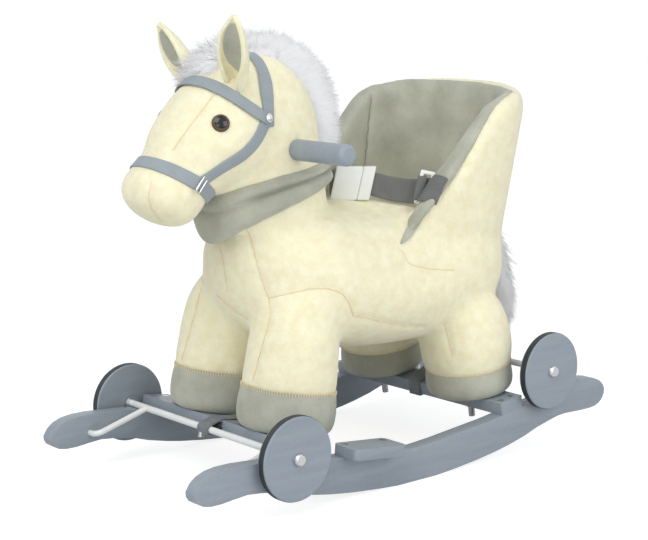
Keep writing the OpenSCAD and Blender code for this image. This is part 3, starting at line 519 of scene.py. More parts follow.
def finer(rows, steps):
    """More rows between the given ones, on a smooth curve through them."""
    rows = np.asarray(rows, float)
    count = len(rows)
    result = []
    for i in range(count - 1):
        before = rows[max(i - 1, 0)]
        after = rows[min(i + 2, count - 1)]
        for k in range(steps):
            t = k / steps
            m0 = (rows[i + 1] - before) / 2
            m1 = (after - rows[i]) / 2
            result.append((2 * t**3 - 3 * t**2 + 1) * rows[i] + (t**3 - 2 * t**2 + t) * m0
                          + (-2 * t**3 + 3 * t**2) * rows[i + 1] + (t**3 - t**2) * m1)
    result.append(rows[-1])
    return np.array(result)


def oval(count, power):
    """Two coordinates round a full oval of radius one."""
    angle = np.arange(count) / count * 2 * math.pi
    c = np.cos(angle)
    s = np.sin(angle)
    return np.sign(c) * np.abs(c) ** (2 / power), np.sign(s) * np.abs(s) ** (2 / power)


print("crossbar tilt", round(math.degrees(BAR_TILT), 2))

# %% wrapping a grid
def wrapped_grid(name, points, closed=True, caps=True):
    """A grid primitive wrapped onto rows of points, then merged and closed."""
    points = np.asarray(points, float)
    if closed:
        points = np.concatenate([points, points[:, :1]], axis=1)
    rows, cols = points.shape[:2]
    clear_selection()
    bpy.ops.mesh.primitive_grid_add(x_subdivisions=cols - 1, y_subdivisions=rows - 1, size=1)
    obj = bpy.context.object
    obj.name = name
    mesh = obj.data
    spot = np.empty(len(mesh.vertices) * 3)
    mesh.vertices.foreach_get("co", spot)
    spot = spot.reshape(-1, 3)
    col = np.rint((spot[:, 0] + 0.5) * (cols - 1)).astype(int)
    row = np.rint((spot[:, 1] + 0.5) * (rows - 1)).astype(int)
    mesh.vertices.foreach_set("co", points[row, col].astype(np.float32).ravel())
    mesh.update()
    open_edit(obj)
    bpy.ops.mesh.select_mode(type="VERT")
    if closed:
        bpy.ops.mesh.remove_doubles(threshold=MERGE)
    if caps:
        bpy.ops.mesh.select_all(action="DESELECT")
        bpy.ops.mesh.select_non_manifold()
        bpy.ops.mesh.fill_holes(sides=0)
        bpy.ops.mesh.select_all(action="SELECT")
    bpy.ops.mesh.normals_make_consistent(inside=False)
    close_edit()
    return obj


def stack(rows, place, count, power, steps=3):
    """Rings of points: place puts a spot of the unit oval on one row of the table."""
    ring = list(zip(*oval(count, power)))
    return at([[place(u, v, *row) for u, v in ring] for row in finer(rows, steps)])


def look(table, key, column=1):
    """A table's value at a key, between the rows on either side of it."""
    return np.interp(key, table[:, 0], table[:, column])


def bar_frame(x, y, z, front):
    """A point over a crossbar, in the bar's own tilted frame, to the design frame."""
    far = BAR_X + x * math.cos(BAR_TILT) - z * math.sin(BAR_TILT)
    high = BAR_Z + x * math.sin(BAR_TILT) + z * math.cos(BAR_TILT)
    return (far if front else -far, y, high)


print("a point over the front crossbar", bar_frame(0.0, 0.0, BAR_TOP, True))

# %% body, neck and head
# Place along the body, middle height, half width and half height.
BODY_ROWS = [
    (-242, 240, 34, 42), (-233, 239, 54, 57), (-215, 237.5, 76, 70), (-190, 233.5, 100, 79.5),
    (-150, 228.5, 116, 85.5), (-90, 224, 120, 88), (-20, 223, 120, 87), (40, 227, 117, 85),
    (80, 232, 111, 82), (108, 237, 100, 77), (130, 240, 85, 69), (148, 243, 65, 56),
    (161, 245, 42, 39), (168, 246, 22, 22)]
# Height, middle, half length and half width.
NECK_ROWS = [
    (290, 105, 78, 66), (320, 106, 80, 64), (350, 108, 80, 60), (384, 108, 74, 57),
    (420, 110, 70, 57), (450, 116, 62, 52), (472, 122, 48, 42), (486, 126, 30, 27),
    (492, 128, 12, 10)]
# Place along the nose, middle, half depth and half width.
HEAD_ROWS = [
    (-52, 5, 14, 14), (-46, 4, 34, 30), (-30, 3, 52, 46), (-5, -1.5, 61, 57.5), (25, 0, 64, 64.5),
    (50, 3.5, 59.5, 65), (75, 9, 51, 59.5), (95, 9.5, 44.5, 52), (108, 8.5, 42, 48.5),
    (119, 9, 43.5, 49.5), (130, 10, 44, 49.5), (140, 11, 42.5, 48.5), (149, 12.5, 37.5, 44),
    (156, 14.5, 29, 35), (161, 16.5, 18, 23), (163, 17.5, 7, 9)]
HEAD_ORIGIN = np.array((150.0, 0.0, 425.0))
HALF_ROOT = math.sqrt(0.5)
NOSE_WAY = np.array((HALF_ROOT, 0.0, -HALF_ROOT))
BROW_WAY = np.array((HALF_ROOT, 0.0, HALF_ROOT))
BODY_POWER = 2.3
NECK_POWER = 2.1


def head_point(s, n, y):
    """A point in the head's own frame: along the nose, out of the brow and sideways."""
    spot = HEAD_ORIGIN + NOSE_WAY * s + BROW_WAY * n
    return (spot[0], y, spot[2])


# Height over the crossbar and radius.
FRONT_LEG = [
    (42, 54.5), (48, 55.9), (69, 54.9), (97, 53.6), (118, 51), (138, 46), (155, 36), (165, 20)]
HIND_LEG = [
    (29, 51.0), (35, 52.9), (48, 56.5), (69, 57.5), (92, 54), (113, 46.4), (129, 32.4), (136, 16)]
# Where a leg stands over its crossbar: away from the horse's middle and sideways.
FRONT_AXIS = (-28.5, 65.0)
HIND_AXIS = (1.0, 80.0)


def leg_form(rows, axis, side, front, count=40, steps=3):
    """Rings over a crossbar for a leg or a hoof. Each row is a height and a radius."""
    return stack(rows, lambda u, v, h, r: bar_frame(
        axis[0] + r * u, side * (axis[1] + r * v), BAR_TOP + h, front), count, 2.0, steps)


skin_parts = [
    wrapped_grid("body_form", stack(
        BODY_ROWS, lambda u, v, x, z, w, h: (x, w * u, z + h * v), 56, BODY_POWER)),
    wrapped_grid("neck_form", stack(
        NECK_ROWS, lambda u, v, z, x, rx, ry: (x + rx * u, ry * v, z), 48, NECK_POWER)),
    wrapped_grid("head_form", stack(
        HEAD_ROWS, lambda u, v, s, n, d, w: head_point(s, n + d * u, w * v), 48, NECK_POWER)),
]
for side in (1, -1):
    skin_parts.append(wrapped_grid(
        "front_leg_form", leg_form(FRONT_LEG, FRONT_AXIS, side, True)))
    skin_parts.append(wrapped_grid(
        "hind_leg_form", leg_form(HIND_LEG, HIND_AXIS, side, False)))
print("forms of the skin:", len(skin_parts))

# %% [markdown]
# The backrest is a bucket of plush round the seat. Its wall is swept: one closed section is
# set at each angle of an oval, and its top follows a rim line that slopes down the wings.
# A thick sheet could be bent to it, but a sweep by numbers keeps the section even.

# %% backrest wall
# Height, half length and half width of the oval.
BACK_ROWS = [
    (215, 122, 102), (258, 128, 107.5), (297, 132, 112.5), (340, 138, 117.5), (363, 142, 120),
    (404, 147, 124), (440, 148, 125), (462, 148, 125)]
# Place along the horse and height of the rim, from the front of the seat to its back.
RIM_LINE = [
    (0, 252), (-4, 264), (-18, 273), (-34, 285), (-60, 314), (-85, 340), (-108, 366), (-128, 390),
    (-146, 411), (-162, 425), (-180, 434), (-205, 441), (-222, 444), (-235, 446.5), (-250, 448.5),
    (-262, 449.5), (-270, 449.5)]
BACK_POWER = 2.6
WALL_START = math.radians(38)
FAR_LEAD = 22.0
NEAR_DROP = 5.5
NEAR_CORNER = math.radians(145)
WING_RUN = math.radians(45)
BACK_X = -120.0
# Height, and how far the two rear corners are drawn in.
CORNER_EASE = [(215, 19.0), (258, 14.0), (297, 9.0), (340, 7.0), (462, 7.0)]
back_table = np.array(BACK_ROWS, float)
rim_table = np.array(RIM_LINE[::-1], float)
ease_table = np.array(CORNER_EASE, float)


def wall_point(angle, z, deep):
    """A point on the backrest's oval at a height, deep millimetres in from the outside."""
    c = math.cos(angle)
    s = math.sin(angle)
    u = math.copysign(abs(c) ** (2 / BACK_POWER), c)
    v = math.copysign(abs(s) ** (2 / BACK_POWER), s)
    ease = look(ease_table, z)
    rx = look(back_table, z) - deep - (2 * ease * abs(c * s) if c < 0 else 0.0)
    ry = look(back_table, z, 2) - deep
    return BACK_X + rx * u, ry * v


def rim_height(angle, deep):
    """Where the wall ends at this angle. The far wing stands more upright."""
    from_front = min(1.0, max(0.0, (2 * math.pi - WALL_START - angle) / WING_RUN))
    lead = FAR_LEAD * max(0.0, -math.sin(angle)) ** 2 * from_front
    z = 400.0
    for _ in range(24):
        x, _y = wall_point(angle, z, deep)
        z = 0.5 * z + 0.5 * float(look(rim_table, x - lead))
    return z - NEAR_DROP * max(0.0, math.cos(angle - NEAR_CORNER)) ** 4


def wall_loop(angle, profile):
    """One closed section of the wall. Each step is (deep, rise over the rim or None, height)."""
    loop = []
    for deep, rise, height in profile:
        z = height if rise is None else rim_height(angle, deep) + rise
        x, y = wall_point(angle, z, deep)
        loop.append((x, y, z))
    return loop


print("rim at the back", round(rim_height(math.pi, 0.0), 1))

# %% plush of the backrest
WALL_FOOT = 225
WALL_STEP = 240
PLUSH_PROFILE = [
    (0, None, WALL_FOOT), (0, None, WALL_STEP), (0, -26, 0), (0.3, -17, 0), (1.6, -10, 0),
    (4, -4.5, 0), (8, -0.6, 0), (13, 0.6, 0), (18, -1.5, 0), (21, -6, 0), (22, -14, 0),
    (22, None, WALL_FOOT)]
wall_angles = np.linspace(WALL_START, 2 * math.pi - WALL_START, 97)


def tucked(profile, angle):
    """Keeps the section in order where the rim is low."""
    top = rim_height(angle, 0.0)
    heights = {WALL_FOOT: min(WALL_FOOT, top - 40.0), WALL_STEP: min(WALL_STEP, top - 30.0)}
    return [(d, r, heights[h] if r is None else h) for d, r, h in profile]


skin_parts.append(wrapped_grid(
    "backrest_form", at([wall_loop(a, tucked(PLUSH_PROFILE, a)) for a in wall_angles])))
print("rim heights", [round(rim_height(a, 0.0)) for a in wall_angles[::12]])

# %% one skin
def join_all(parts, name):
    """Joins several objects into one."""
    clear_selection()
    for part in parts:
        part.select_set(True)
    bpy.context.view_layer.objects.active = parts[0]
    bpy.ops.object.join()
    obj = bpy.context.object
    obj.name = name
    obj.data.name = name
    return obj


def spots(obj, what="co"):
    """The places, or the normals, of all vertices of a piece as one array."""
    flat = np.empty(len(obj.data.vertices) * 3, np.float32)
    obj.data.vertices.foreach_get(what, flat)
    return flat.reshape(-1, 3).astype(float)


def set_spots(obj, places):
    """Moves all vertices of a piece."""
    obj.data.vertices.foreach_set("co", np.asarray(places, np.float32).ravel())
    obj.data.update()


VOXEL = 0.004
SEAT_FRONT = -0.02
HIND_FRONT = -0.06
HIND_TOP = 0.195
WALL_LOW = 0.30
HIND_LOOSE = 0.22
WALL_LOOSE = 0.12
skin = join_all(skin_parts, "plush_skin")
apply_new(skin, "REMESH", mode="VOXEL", voxel_size=VOXEL, use_smooth_shade=True)
places = spots(skin)
group = skin.vertex_groups.new(name="drawn_tight")
loose = np.ones(len(places))
loose[(places[:, 0] < HIND_FRONT) & (places[:, 2] < HIND_TOP)] = HIND_LOOSE
loose[(places[:, 2] > WALL_LOW) & (places[:, 0] < SEAT_FRONT)] = WALL_LOOSE
for value in np.unique(loose):
    group.add(np.nonzero(loose == value)[0].tolist(), float(value), "REPLACE")
apply_new(skin, "SMOOTH", factor=0.5, iterations=34, vertex_group="drawn_tight")
apply_new(skin, "SMOOTH", factor=0.5, iterations=4)
skin.vertex_groups.clear()
print("skin points", len(places))

# %% stuffing
CLOTH_FRAMES = 16
CLOTH_FACTS = {"quality": 4, "use_pressure": True, "uniform_pressure_force": 4.0,
               "tension_stiffness": 18, "compression_stiffness": 18, "bending_stiffness": 1.5}


def fill_with_stuffing(obj, shrink, cap, hold):
    """Cloth with pressure inside: the cover starts smaller and swells up to a cap."""
    start = spots(obj)
    out_way = spots(obj, "normal")
    set_spots(obj, start - out_way * shrink)
    begin = spots(obj)
    pick(obj)
    bpy.ops.object.modifier_add(type="CLOTH")
    cloth = obj.modifiers[-1]
    for title, value in CLOTH_FACTS.items():
        setattr(cloth.settings, title, value)
    cloth.settings.effector_weights.gravity = 0
    cloth.collision_settings.use_collision = False
    cloth.collision_settings.use_self_collision = False
    cloth.point_cache.frame_start = 1
    cloth.point_cache.frame_end = CLOTH_FRAMES
    for step in range(1, CLOTH_FRAMES + 1):
        scene.frame_set(step)
    bpy.ops.object.modifier_apply(modifier=cloth.name)
    scene.frame_set(1)
    moved = spots(obj) - begin
    size = np.linalg.norm(moved, axis=1)
    moved *= (np.minimum(size, cap) / np.maximum(size, 1e-9))[:, None]
    still_short = np.einsum("ij,ij->i", start - begin - moved, out_way).mean()
    moved += out_way * still_short
    moved = moved * (1 - hold)[:, None] + (start - begin) * hold[:, None]
    set_spots(obj, begin + moved)
    print(obj.name, "largest move", round(float(np.linalg.norm(moved, axis=1).max()), 4))


SHRINK = 0.0025
SWELL_CAP = 0.005
RIM_FROM = 0.35
RIM_FULL = 0.40
places = spots(skin)
stiff_rim = np.clip((places[:, 2] - RIM_FROM) / (RIM_FULL - RIM_FROM), 0, 1)
stiff_rim *= places[:, 0] < SEAT_FRONT
fill_with_stuffing(skin, SHRINK, SWELL_CAP, stiff_rim)
apply_new(skin, "SMOOTH", factor=0.4, iterations=2)
dress(skin, cream_plush, "cream_plush", "body_plush", "neck_plush", "head_plush",
      "leg_front_left", "leg_front_right", "leg_hind_left", "leg_hind_right", "backrest_shell")
print("skin faces", len(skin.data.polygons))

# %% [markdown]
# The suede lining is a separate padded wall inside the backrest. It rolls over the rim:
# fully over the sloping wings, and only to the middle of the edge at the back. It is swept
# round the same oval as the plush, so the two stay in step, and its section changes with
# the angle.

# %% suede lining
CORNER_MIDDLE = math.radians(42)
CORNER_RUN = math.radians(40)
CORNER_DIP = 7.0
BACK_DROP = 3.5
WING_MIDDLE = math.radians(99)
WING_SWELL = 6.0
SWELL_RUN = math.radians(36)
WING_PUFF = 5.0
PUFF_RUN = math.radians(30)
LINING_RUN_OUT = math.radians(22)
LINING_START = math.radians(55)


def hump(angle, middle, run):
    """One in the middle of a stretch, nothing at its ends."""
    return max(0.0, 1.0 - ((angle - middle) / run) ** 2)


def lining_profile(angle):
    """The roll of the lining. It sits lower along the back and slims out at its two ends."""
    from_back = abs(angle - math.pi)
    share = max(0.0, min(1.0, (-math.cos(angle) + 0.35) / 0.9))
    corner = math.cos(math.pi / 2 * min(1.0, abs(from_back - CORNER_MIDDLE) / CORNER_RUN)) ** 2
    outer = 0.5 + 16.5 * share - CORNER_DIP * corner
    from_end = min(angle - LINING_START, 2 * math.pi - LINING_START - angle)
    slim = 1.0 - max(0.0, min(1.0, from_end / LINING_RUN_OUT))
    drop = BACK_DROP * max(0.0, min(1.0, (-math.cos(angle) - 0.62) / 0.2)) + 4.0 * slim
    swell = WING_SWELL * (1 - slim) * hump(from_back, WING_MIDDLE, SWELL_RUN)
    puff = WING_PUFF * (1 - slim) * hump(from_back, WING_MIDDLE, PUFF_RUN)
    top = rim_height(angle, 0.0)
    low = min(296.0, top - 36.0)
    return [(31 - 11 * slim, None, low),
            (29.5 - 10 * slim + 0.3 * swell, None, min(320.0, top - 26)),
            (28.5 - 9.5 * slim + 0.8 * swell, -14 - drop, 0),
            (27 - 8.5 * slim + swell, -6 - drop + 0.5 * puff, 0),
            (max(24 - 6.5 * slim + swell, outer + 8.5), -0.5 - drop + puff, 0),
            (max(19 - 3 * slim + 0.6 * swell, outer + 6.5), 2.2 - drop + puff, 0),
            (outer + 5, 2.8 - drop + puff, 0), (outer + 3, 2.0 - drop + 0.6 * puff, 0),
            (outer + 0.5, -0.5 - drop + 0.2 * puff, 0), (outer, -4 - drop, 0),
            (outer + 1.5, -8 - drop, 0), (max(15, outer + 1), -12 - drop, 0),
            (max(17, outer + 1), None, low)]


LINING_VOXEL = 0.003
lining_angles = np.linspace(LINING_START, 2 * math.pi - LINING_START, 97)
lining = wrapped_grid("suede_lining", at([wall_loop(a, lining_profile(a)) for a in lining_angles]))
apply_new(lining, "REMESH", mode="VOXEL", voxel_size=LINING_VOXEL, use_smooth_shade=True)
apply_new(lining, "SMOOTH", factor=0.5, iterations=7)
dress(lining, grey_suede, "grey_suede", "seat_lining")
print("lining faces", len(lining.data.polygons))

# %% [markdown]
# Each hoof is a stuffed suede cup round the foot of a leg, sewn to the plush. It is a stack
# of rings like the leg, a little wider, because a cup cut out of the skin would lose its
# sharp upper edge in the remesh.

# %% hooves
# Radius as a share of the hoof's width, and height as a share of its height.
HOOF_SHARES = [
    (0.30, 0), (0.40, 0), (0.455, 0.06), (0.488, 0.2), (0.5, 0.4), (0.499, 0.6), (0.492, 0.8),
    (0.482, 0.94), (0.474, 1.0), (0.46, 1.03), (0.40, 1.02)]


def hoof(name, diameter, height, axis, side, front):
    """One suede cup over a crossbar."""
    rows = [(height * h, diameter * r) for r, h in HOOF_SHARES]
    obj = wrapped_grid(name + "_suede", leg_form(rows, axis, side, front, 64, 2))
    apply_new(obj, "SUBSURF", levels=1, render_levels=1)
    bpy.ops.object.shade_smooth()
    dress(obj, grey_suede, "grey_suede", name)
    return obj


# Name, width, height, axis, side, and whether it is in front.
HOOVES = [
    ("hoof_front_left", 114, 48, FRONT_AXIS, 1, True),
    ("hoof_front_right", 114, 48, FRONT_AXIS, -1, True),
    ("hoof_hind_left", 108, 35, HIND_AXIS, 1, False),
    ("hoof_hind_right", 108, 35, HIND_AXIS, -1, False)]
hoof_pieces = [hoof(*facts) for facts in HOOVES]
print("four hooves")

# %% [markdown]
# Fine seams show where the plush was sewn. Each one is a line in the picture: a ray from the
# camera finds where it lies on the skin, the skin is drawn in along it, and a thin thread
# lies in the dent. What the other side hides is taken to be the same, mirrored.

# %% seams in the plush
def surface_of(obj):
    """A tree for finding places on a piece's surface."""
    return BVHTree.FromObject(obj, bpy.context.evaluated_depsgraph_get())


# Lines of the picture, in its pixels.
SEAMS_SEEN = [
    [(219, 246), (223, 266), (226.5, 292)],
    [(246, 226), (254, 252), (260, 276), (268, 298), (270, 316), (265, 334), (258, 358),
     (252, 381)],
    [(200, 288), (194, 313), (181, 360)], [(216, 296), (232, 310), (246, 320)],
    [(151, 182), (147.5, 199), (152, 212), (161, 222)]]
SEAMS_MIRRORED = [
    [(268, 298), (297, 291.5), (312, 288.5), (326, 288), (342, 292.5), (350, 303), (353.5, 316)],
    [(403, 250), (410, 264), (432, 269), (455, 270)],
    [(354, 316.5), (370, 319), (385, 323), (409, 327), (424, 327)],
    [(445, 325), (452, 356)],
    [(213, 95), (193, 121), (172, 150)],
]


def picture_line(pixels, step=2.5):
    """Places along a line of the picture, close together."""
    result = []
    for (x0, y0), (x1, y1) in zip(pixels[:-1], pixels[1:]):
        count = max(2, int(math.hypot(x1 - x0, y1 - y0) / step))
        for i in range(count):
            result.append((x0 + (x1 - x0) * i / count, y0 + (y1 - y0) * i / count))
    result.append(pixels[-1])
    return result


def seen_on(tree, pixels, rounds=3):
    """A line of the picture, laid on a surface. What misses the surface is dropped."""
    hits = [tree.ray_cast(CAMERA_PLACE, sight(*q))[0] for q in picture_line(pixels)]
    return eased_path([hit for hit in hits if hit is not None], rounds)


def eased_path(path, rounds=3):
    """Takes small steps out of a path, with its ends kept."""
    path = np.array(path, float)
    for _ in range(rounds):
        path[1:-1] = 0.25 * path[:-2] + 0.5 * path[1:-1] + 0.25 * path[2:]
    return path


MIRROR = np.array((1.0, -1.0, 1.0))
ground = surface_of(skin)
seam_paths = [seen_on(ground, pixels) for pixels in SEAMS_SEEN]
for pixels in SEAMS_MIRRORED:
    path = seen_on(ground, pixels)
    seam_paths += [path, path * MIRROR]
print("seams", len(seam_paths))

# %% dents along the seams
def draw_in(obj, paths, depth, reach):
    """Pulls the surface in along some paths, most at the path and fading out."""
    places = spots(obj)
    inward = -spots(obj, "normal")
    every = np.concatenate(paths)
    low = every.min(0) - reach
    high = every.max(0) + reach
    near = np.nonzero(((places > low) & (places < high)).all(1))[0]
    nearest = np.full(len(near), 9.0)
    for chunk in np.array_split(every, max(1, len(every) // 40)):
        gap = np.linalg.norm(places[near][:, None, :] - chunk[None], axis=2).min(1)
        nearest = np.minimum(nearest, gap)
    pull = np.clip(1 - nearest / reach, 0, 1) ** 2 * depth
    places[near] += inward[near] * pull[:, None]
    set_spots(obj, places)


SEAM_DEPTH = 0.0022
SEAM_REACH = 0.009
draw_in(skin, seam_paths, SEAM_DEPTH, SEAM_REACH)
ground = surface_of(skin)
print("skin drawn in along", len(seam_paths), "seams")

# %% threads
def curve_mesh(name, lines, radius, resolution, ring=False):
    """Round wires along lines of points, as one mesh."""
    data = bpy.data.curves.new(name, "CURVE")
    data.dimensions = "3D"
    data.bevel_depth = radius
    data.bevel_resolution = resolution
    for line in lines:
        spline = data.splines.new("POLY")
        spline.points.add(len(line) - 1)
        for point, spot in zip(spline.points, line):
            point.co = (*spot, 1)
        spline.use_cyclic_u = ring
    obj = bpy.data.objects.new(name, data)
    scene.collection.objects.link(obj)
    pick(obj)
    bpy.ops.object.convert(target="MESH")
    return bpy.context.object


def thread(name, paths, radius, material, slot):
    """Thin round threads along paths."""
    obj = curve_mesh(name, paths, radius, 1)
    bpy.ops.object.shade_smooth()
    return dress(obj, material, slot)


def nearest(tree, spot):
    """The closest place on a surface, and the way out of it there."""
    return tree.find_nearest(Vector(spot))[:2]


def laid_on(tree, paths, lift):
    """Paths moved onto a surface, a little above it."""
    result = []
    for path in paths:
        feet = [nearest(tree, spot) for spot in path]
        result.append([close + normal * lift for close, normal in feet])
    return result


THREAD_RADIUS = 0.0006
SEAM_LIFT = 0.0001
thread("plush_seams", laid_on(ground, seam_paths, SEAM_LIFT), THREAD_RADIUS, seam_thread,
       "cream_plush")
print("plush threads", len(seam_paths))

# %% seams of the lining
LINING_SEAM = [(372, 98), (370, 118), (367.5, 145), (366, 168), (365, 182)]
LINING_SEAM_DEPTH = 0.0035
LINING_SEAM_REACH = 0.008
path = seen_on(surface_of(lining), LINING_SEAM, 14)
lining_seams = [path, path * MIRROR]
draw_in(lining, lining_seams, LINING_SEAM_DEPTH, LINING_SEAM_REACH)
# The dark thread in each dent paints the shadow of the seam's crease.
thread("lining_seams", laid_on(surface_of(lining), lining_seams, 0.0), THREAD_RADIUS,
       seam_shade_thread, "grey_suede")
print("lining seams", len(lining_seams), "points in each", len(path))

# %% stitches round the hooves
STITCH_GAP = 3.4
STITCH_ENDS = (-1.5, 3.5)
STITCH_RADIUS = 0.00032
STITCH_BULGE = 0.0006
STITCH_SINK = 0.0002
stitches = []
for (name, wide, tall, axis, side, front), cup in zip(HOOVES, hoof_pieces):
    cup_ground = surface_of(cup)
    for turn in np.linspace(0, 2 * math.pi, int(math.pi * wide / STITCH_GAP), endpoint=False):
        u, v = math.cos(turn) * wide / 2, math.sin(turn) * wide / 2
        ends = at([bar_frame(axis[0] + u, side * (axis[1] + v), BAR_TOP + tall + rise, front)
                   for rise in STITCH_ENDS])
        low, low_way = nearest(cup_ground, ends[0])
        high, high_way = nearest(ground, ends[1])
        middle = (low + high) / 2 + (low_way + high_way) * STITCH_BULGE
        stitches.append([low + low_way * SEAM_LIFT, middle, high - high_way * STITCH_SINK])
thread("hoof_stitches", stitches, STITCH_RADIUS, seam_thread, "cream_plush")
print("stitches", len(stitches))

# %% [markdown]
# The eyes are glassy domes: a black middle, a brown ring and a clear coat. A flattened sphere
# is the dome, set into a dent of the plush. The ring could be a piece of its own, but a
# number on each vertex, how far it is from the middle, lets one finish show it all.

# %% finish of the eyes
eye_finish = bpy.data.materials.new("glassy_eye")
eye_finish.use_nodes = True
tree = eye_finish.node_tree
shader = tree.nodes["Principled BSDF"]
ring = tree.nodes.new("ShaderNodeAttribute")
ring.attribute_name = "ring"
ramp = two_tone(tree, 0.68, 0.98, (0.006, 0.005, 0.005), (0.055, 0.032, 0.014))
ramp.color_ramp.elements.new(0.80).color = (0.135, 0.078, 0.034, 1)
coords = tree.nodes.new("ShaderNodeTexCoord").outputs["Object"]
flecks = noise(tree, coords, 900.0, 3.0, 0.6)
fleck_shift = calc(tree, "MULTIPLY_ADD", flecks, 0.10, -0.05)
wire(tree, (calc(tree, "ADD", ring.outputs["Fac"], fleck_shift), ramp.inputs["Fac"]),
     (ramp.outputs["Color"], shader.inputs["Base Color"]),
     (calc(tree, "MULTIPLY_ADD", flecks, 0.08, 0.08), shader.inputs["Roughness"]))
shader.inputs["Specular IOR Level"].default_value = 0.25
shader.inputs["Coat Weight"].default_value = 0.6
shader.inputs["Coat Roughness"].default_value = 0.03
print("finish", eye_finish.name)

# %% eyes
EYE_SPOT = (43.5, 33, 51)
EYE_RADIUS = 0.0101
EYE_FLAT = 0.58
EYE_SINK = 0.0008
EYE_DENT = 0.0030
EYE_DENT_REACH = 0.016


def place_mesh(obj, spot, normal, up=(0, 0, 1)):
    """Moves a mesh made about the origin so that its Z faces out along a normal."""
    out = Vector(normal).normalized()
    side = Vector(up).cross(out).normalized()
    level = out.cross(side)
    turn = Matrix((side, level, out)).transposed().to_4x4()
    obj.data.transform(Matrix.Translation(Vector(spot)) @ turn)
    obj.data.update()
    return obj


eye_parts = []
eye_paths = []
for side in (1, -1):
    spot = head_point(EYE_SPOT[0], EYE_SPOT[1], side * EYE_SPOT[2])
    close, normal = nearest(ground, at([spot])[0])
    clear_selection()
    bpy.ops.mesh.primitive_uv_sphere_add(segments=40, ring_count=24, radius=EYE_RADIUS)
    eye = bpy.context.object
    open_edit(eye)
    bpy.ops.transform.resize(value=(1, 1, EYE_FLAT))
    close_edit()
    flat = spots(eye)
    away = np.hypot(flat[:, 0], flat[:, 1]) / EYE_RADIUS
    away[flat[:, 2] < 0] = 1.0
    mark = eye.data.attributes.new("ring", "FLOAT", "POINT")
    mark.data.foreach_set("value", away.astype(np.float32))
    place_mesh(eye, close - normal * EYE_SINK, normal)
    eye_parts.append(eye)
    eye_paths.append(np.array([close]))
draw_in(skin, eye_paths, EYE_DENT, EYE_DENT_REACH)
eyes = join_all(eye_parts, "glass_eyes")
bpy.ops.object.shade_smooth()
dress(eyes, eye_finish, "brown_eye", "eyes")
print("eye faces", len(eyes.data.polygons))

# %% [markdown]
# Each ear is a cupped leaf of plush with a suede leaf sewn into its hollow. It could be cut
# from a scaled sphere, but a grid that is shaped to the leaf, thickened and smoothed rolls
# shut at its base as the real one does. It is turned the way the solid ear stands.

# %% shape of the ears
# Place along the ear, radius of its roll, and half the turn in degrees.
EAR_LINE = [
    (-10, 7, 140), (-2, 9, 140), (7, 11.5, 134), (17, 14.2, 118), (29, 17.4, 98), (41, 19.2, 85),
    (53, 18.8, 77), (63, 16.0, 70), (72, 11.4, 62), (79, 6.8, 50), (83, 3.4, 24)]
# Place along the ear, and the share of the turn that the suede leaf takes.
LINING_LINE = [
    (9, 0.05), (14, 0.35), (22, 0.62), (33, 0.77), (47, 0.83), (61, 0.83), (69, 0.78), (74, 0.55)]
EAR_BASE = (173.0, 40.0, 460.0)
EAR_LEAN = math.radians(20)
EAR_YAW = math.radians(4)
EAR_SPLAY = {1: math.radians(19.5), -1: math.radians(30)}
EAR_LONG = {1: 1.0, -1: 0.93}


def ear_spot(side, front, across, along):
    """From the ear's own frame (out of its face, outwards, up its length) to the design frame."""
    along *= EAR_LONG[side]
    out = across * math.cos(EAR_SPLAY[side]) + along * math.sin(EAR_SPLAY[side])
    up = along * math.cos(EAR_SPLAY[side]) - across * math.sin(EAR_SPLAY[side])
    x = front * math.cos(EAR_LEAN) + up * math.sin(EAR_LEAN)
    z = -front * math.sin(EAR_LEAN) + up * math.cos(EAR_LEAN)
    return (EAR_BASE[0] + x * math.cos(EAR_YAW) - out * math.sin(EAR_YAW),
            side * (EAR_BASE[1] + x * math.sin(EAR_YAW) + out * math.cos(EAR_YAW)), EAR_BASE[2] + z)


def ear_leaf(side, lift, inner):
    """Rows of points of one leaf: rolled almost shut at its base and open above."""
    rows = []
    shares = np.array(LINING_LINE)
    for along, radius, turn in finer(EAR_LINE, 4):
        share = 1.0
        if inner:
            if not shares[0, 0] <= along <= shares[-1, 0]:
                continue
            share = np.interp(along, shares[:, 0], shares[:, 1])
        half = math.radians(turn)
        inside = max(radius - lift, 0.4)
        back = 0.5 * radius * (1 - math.cos(half))
        rows.append([ear_spot(side, radius - inside * math.cos(v * half * share) - back,
                              inside * math.sin(v * half * share), along)
                     for v in np.linspace(-1, 1, 17)])
    return at(rows)


print("rows of an ear", len(EAR_LINE))

# %% ears
EAR_THICK = 0.0055
EAR_LINING_THICK = 0.0016
EAR_LINING_LIFT = 3.3


def face_out(obj):
    """Turns all faces of a closed piece outwards."""
    open_edit(obj)
    bpy.ops.mesh.normals_make_consistent(inside=False)
    close_edit()


def leaf_piece(name, points, thick, material, slot, *replaced):
    """A leaf with some thickness, rounded and dressed."""
    obj = wrapped_grid(name, points, closed=False, caps=False)
    apply_new(obj, "SOLIDIFY", thickness=thick, offset=0.0)
    apply_new(obj, "SUBSURF", levels=2, render_levels=2)
    face_out(obj)
    bpy.ops.object.shade_smooth()
    return dress(obj, material, slot, *replaced)


def ear(side, word, *lining_nodes):
    """The plush leaf of one ear and the suede leaf in it."""
    outer = leaf_piece("ear_" + word + "_plush", ear_leaf(side, 0.0, False), EAR_THICK,
                       cream_plush, "cream_plush", "ear_" + word)
    inner = leaf_piece("ear_" + word + "_suede", ear_leaf(side, EAR_LINING_LIFT, True),
                       EAR_LINING_THICK, grey_suede, "grey_suede", *lining_nodes)
    return outer, inner


ear_left = ear(1, "left", "ear_linings")
ear_right = ear(-1, "right")
print("ears ready")

# %% [markdown]
# The bridle is flat webbing laid on the head. A strap could be cut out of the head's mesh, but
# a strip that is pulled down onto the skin with a shrinkwrap and then thickened keeps its
# width and follows every swell of the stuffing.

# %% laying straps
STRIP_SHARES = np.linspace(-0.5, 0.5, 7)
STRIP_MERGE = 1e-5


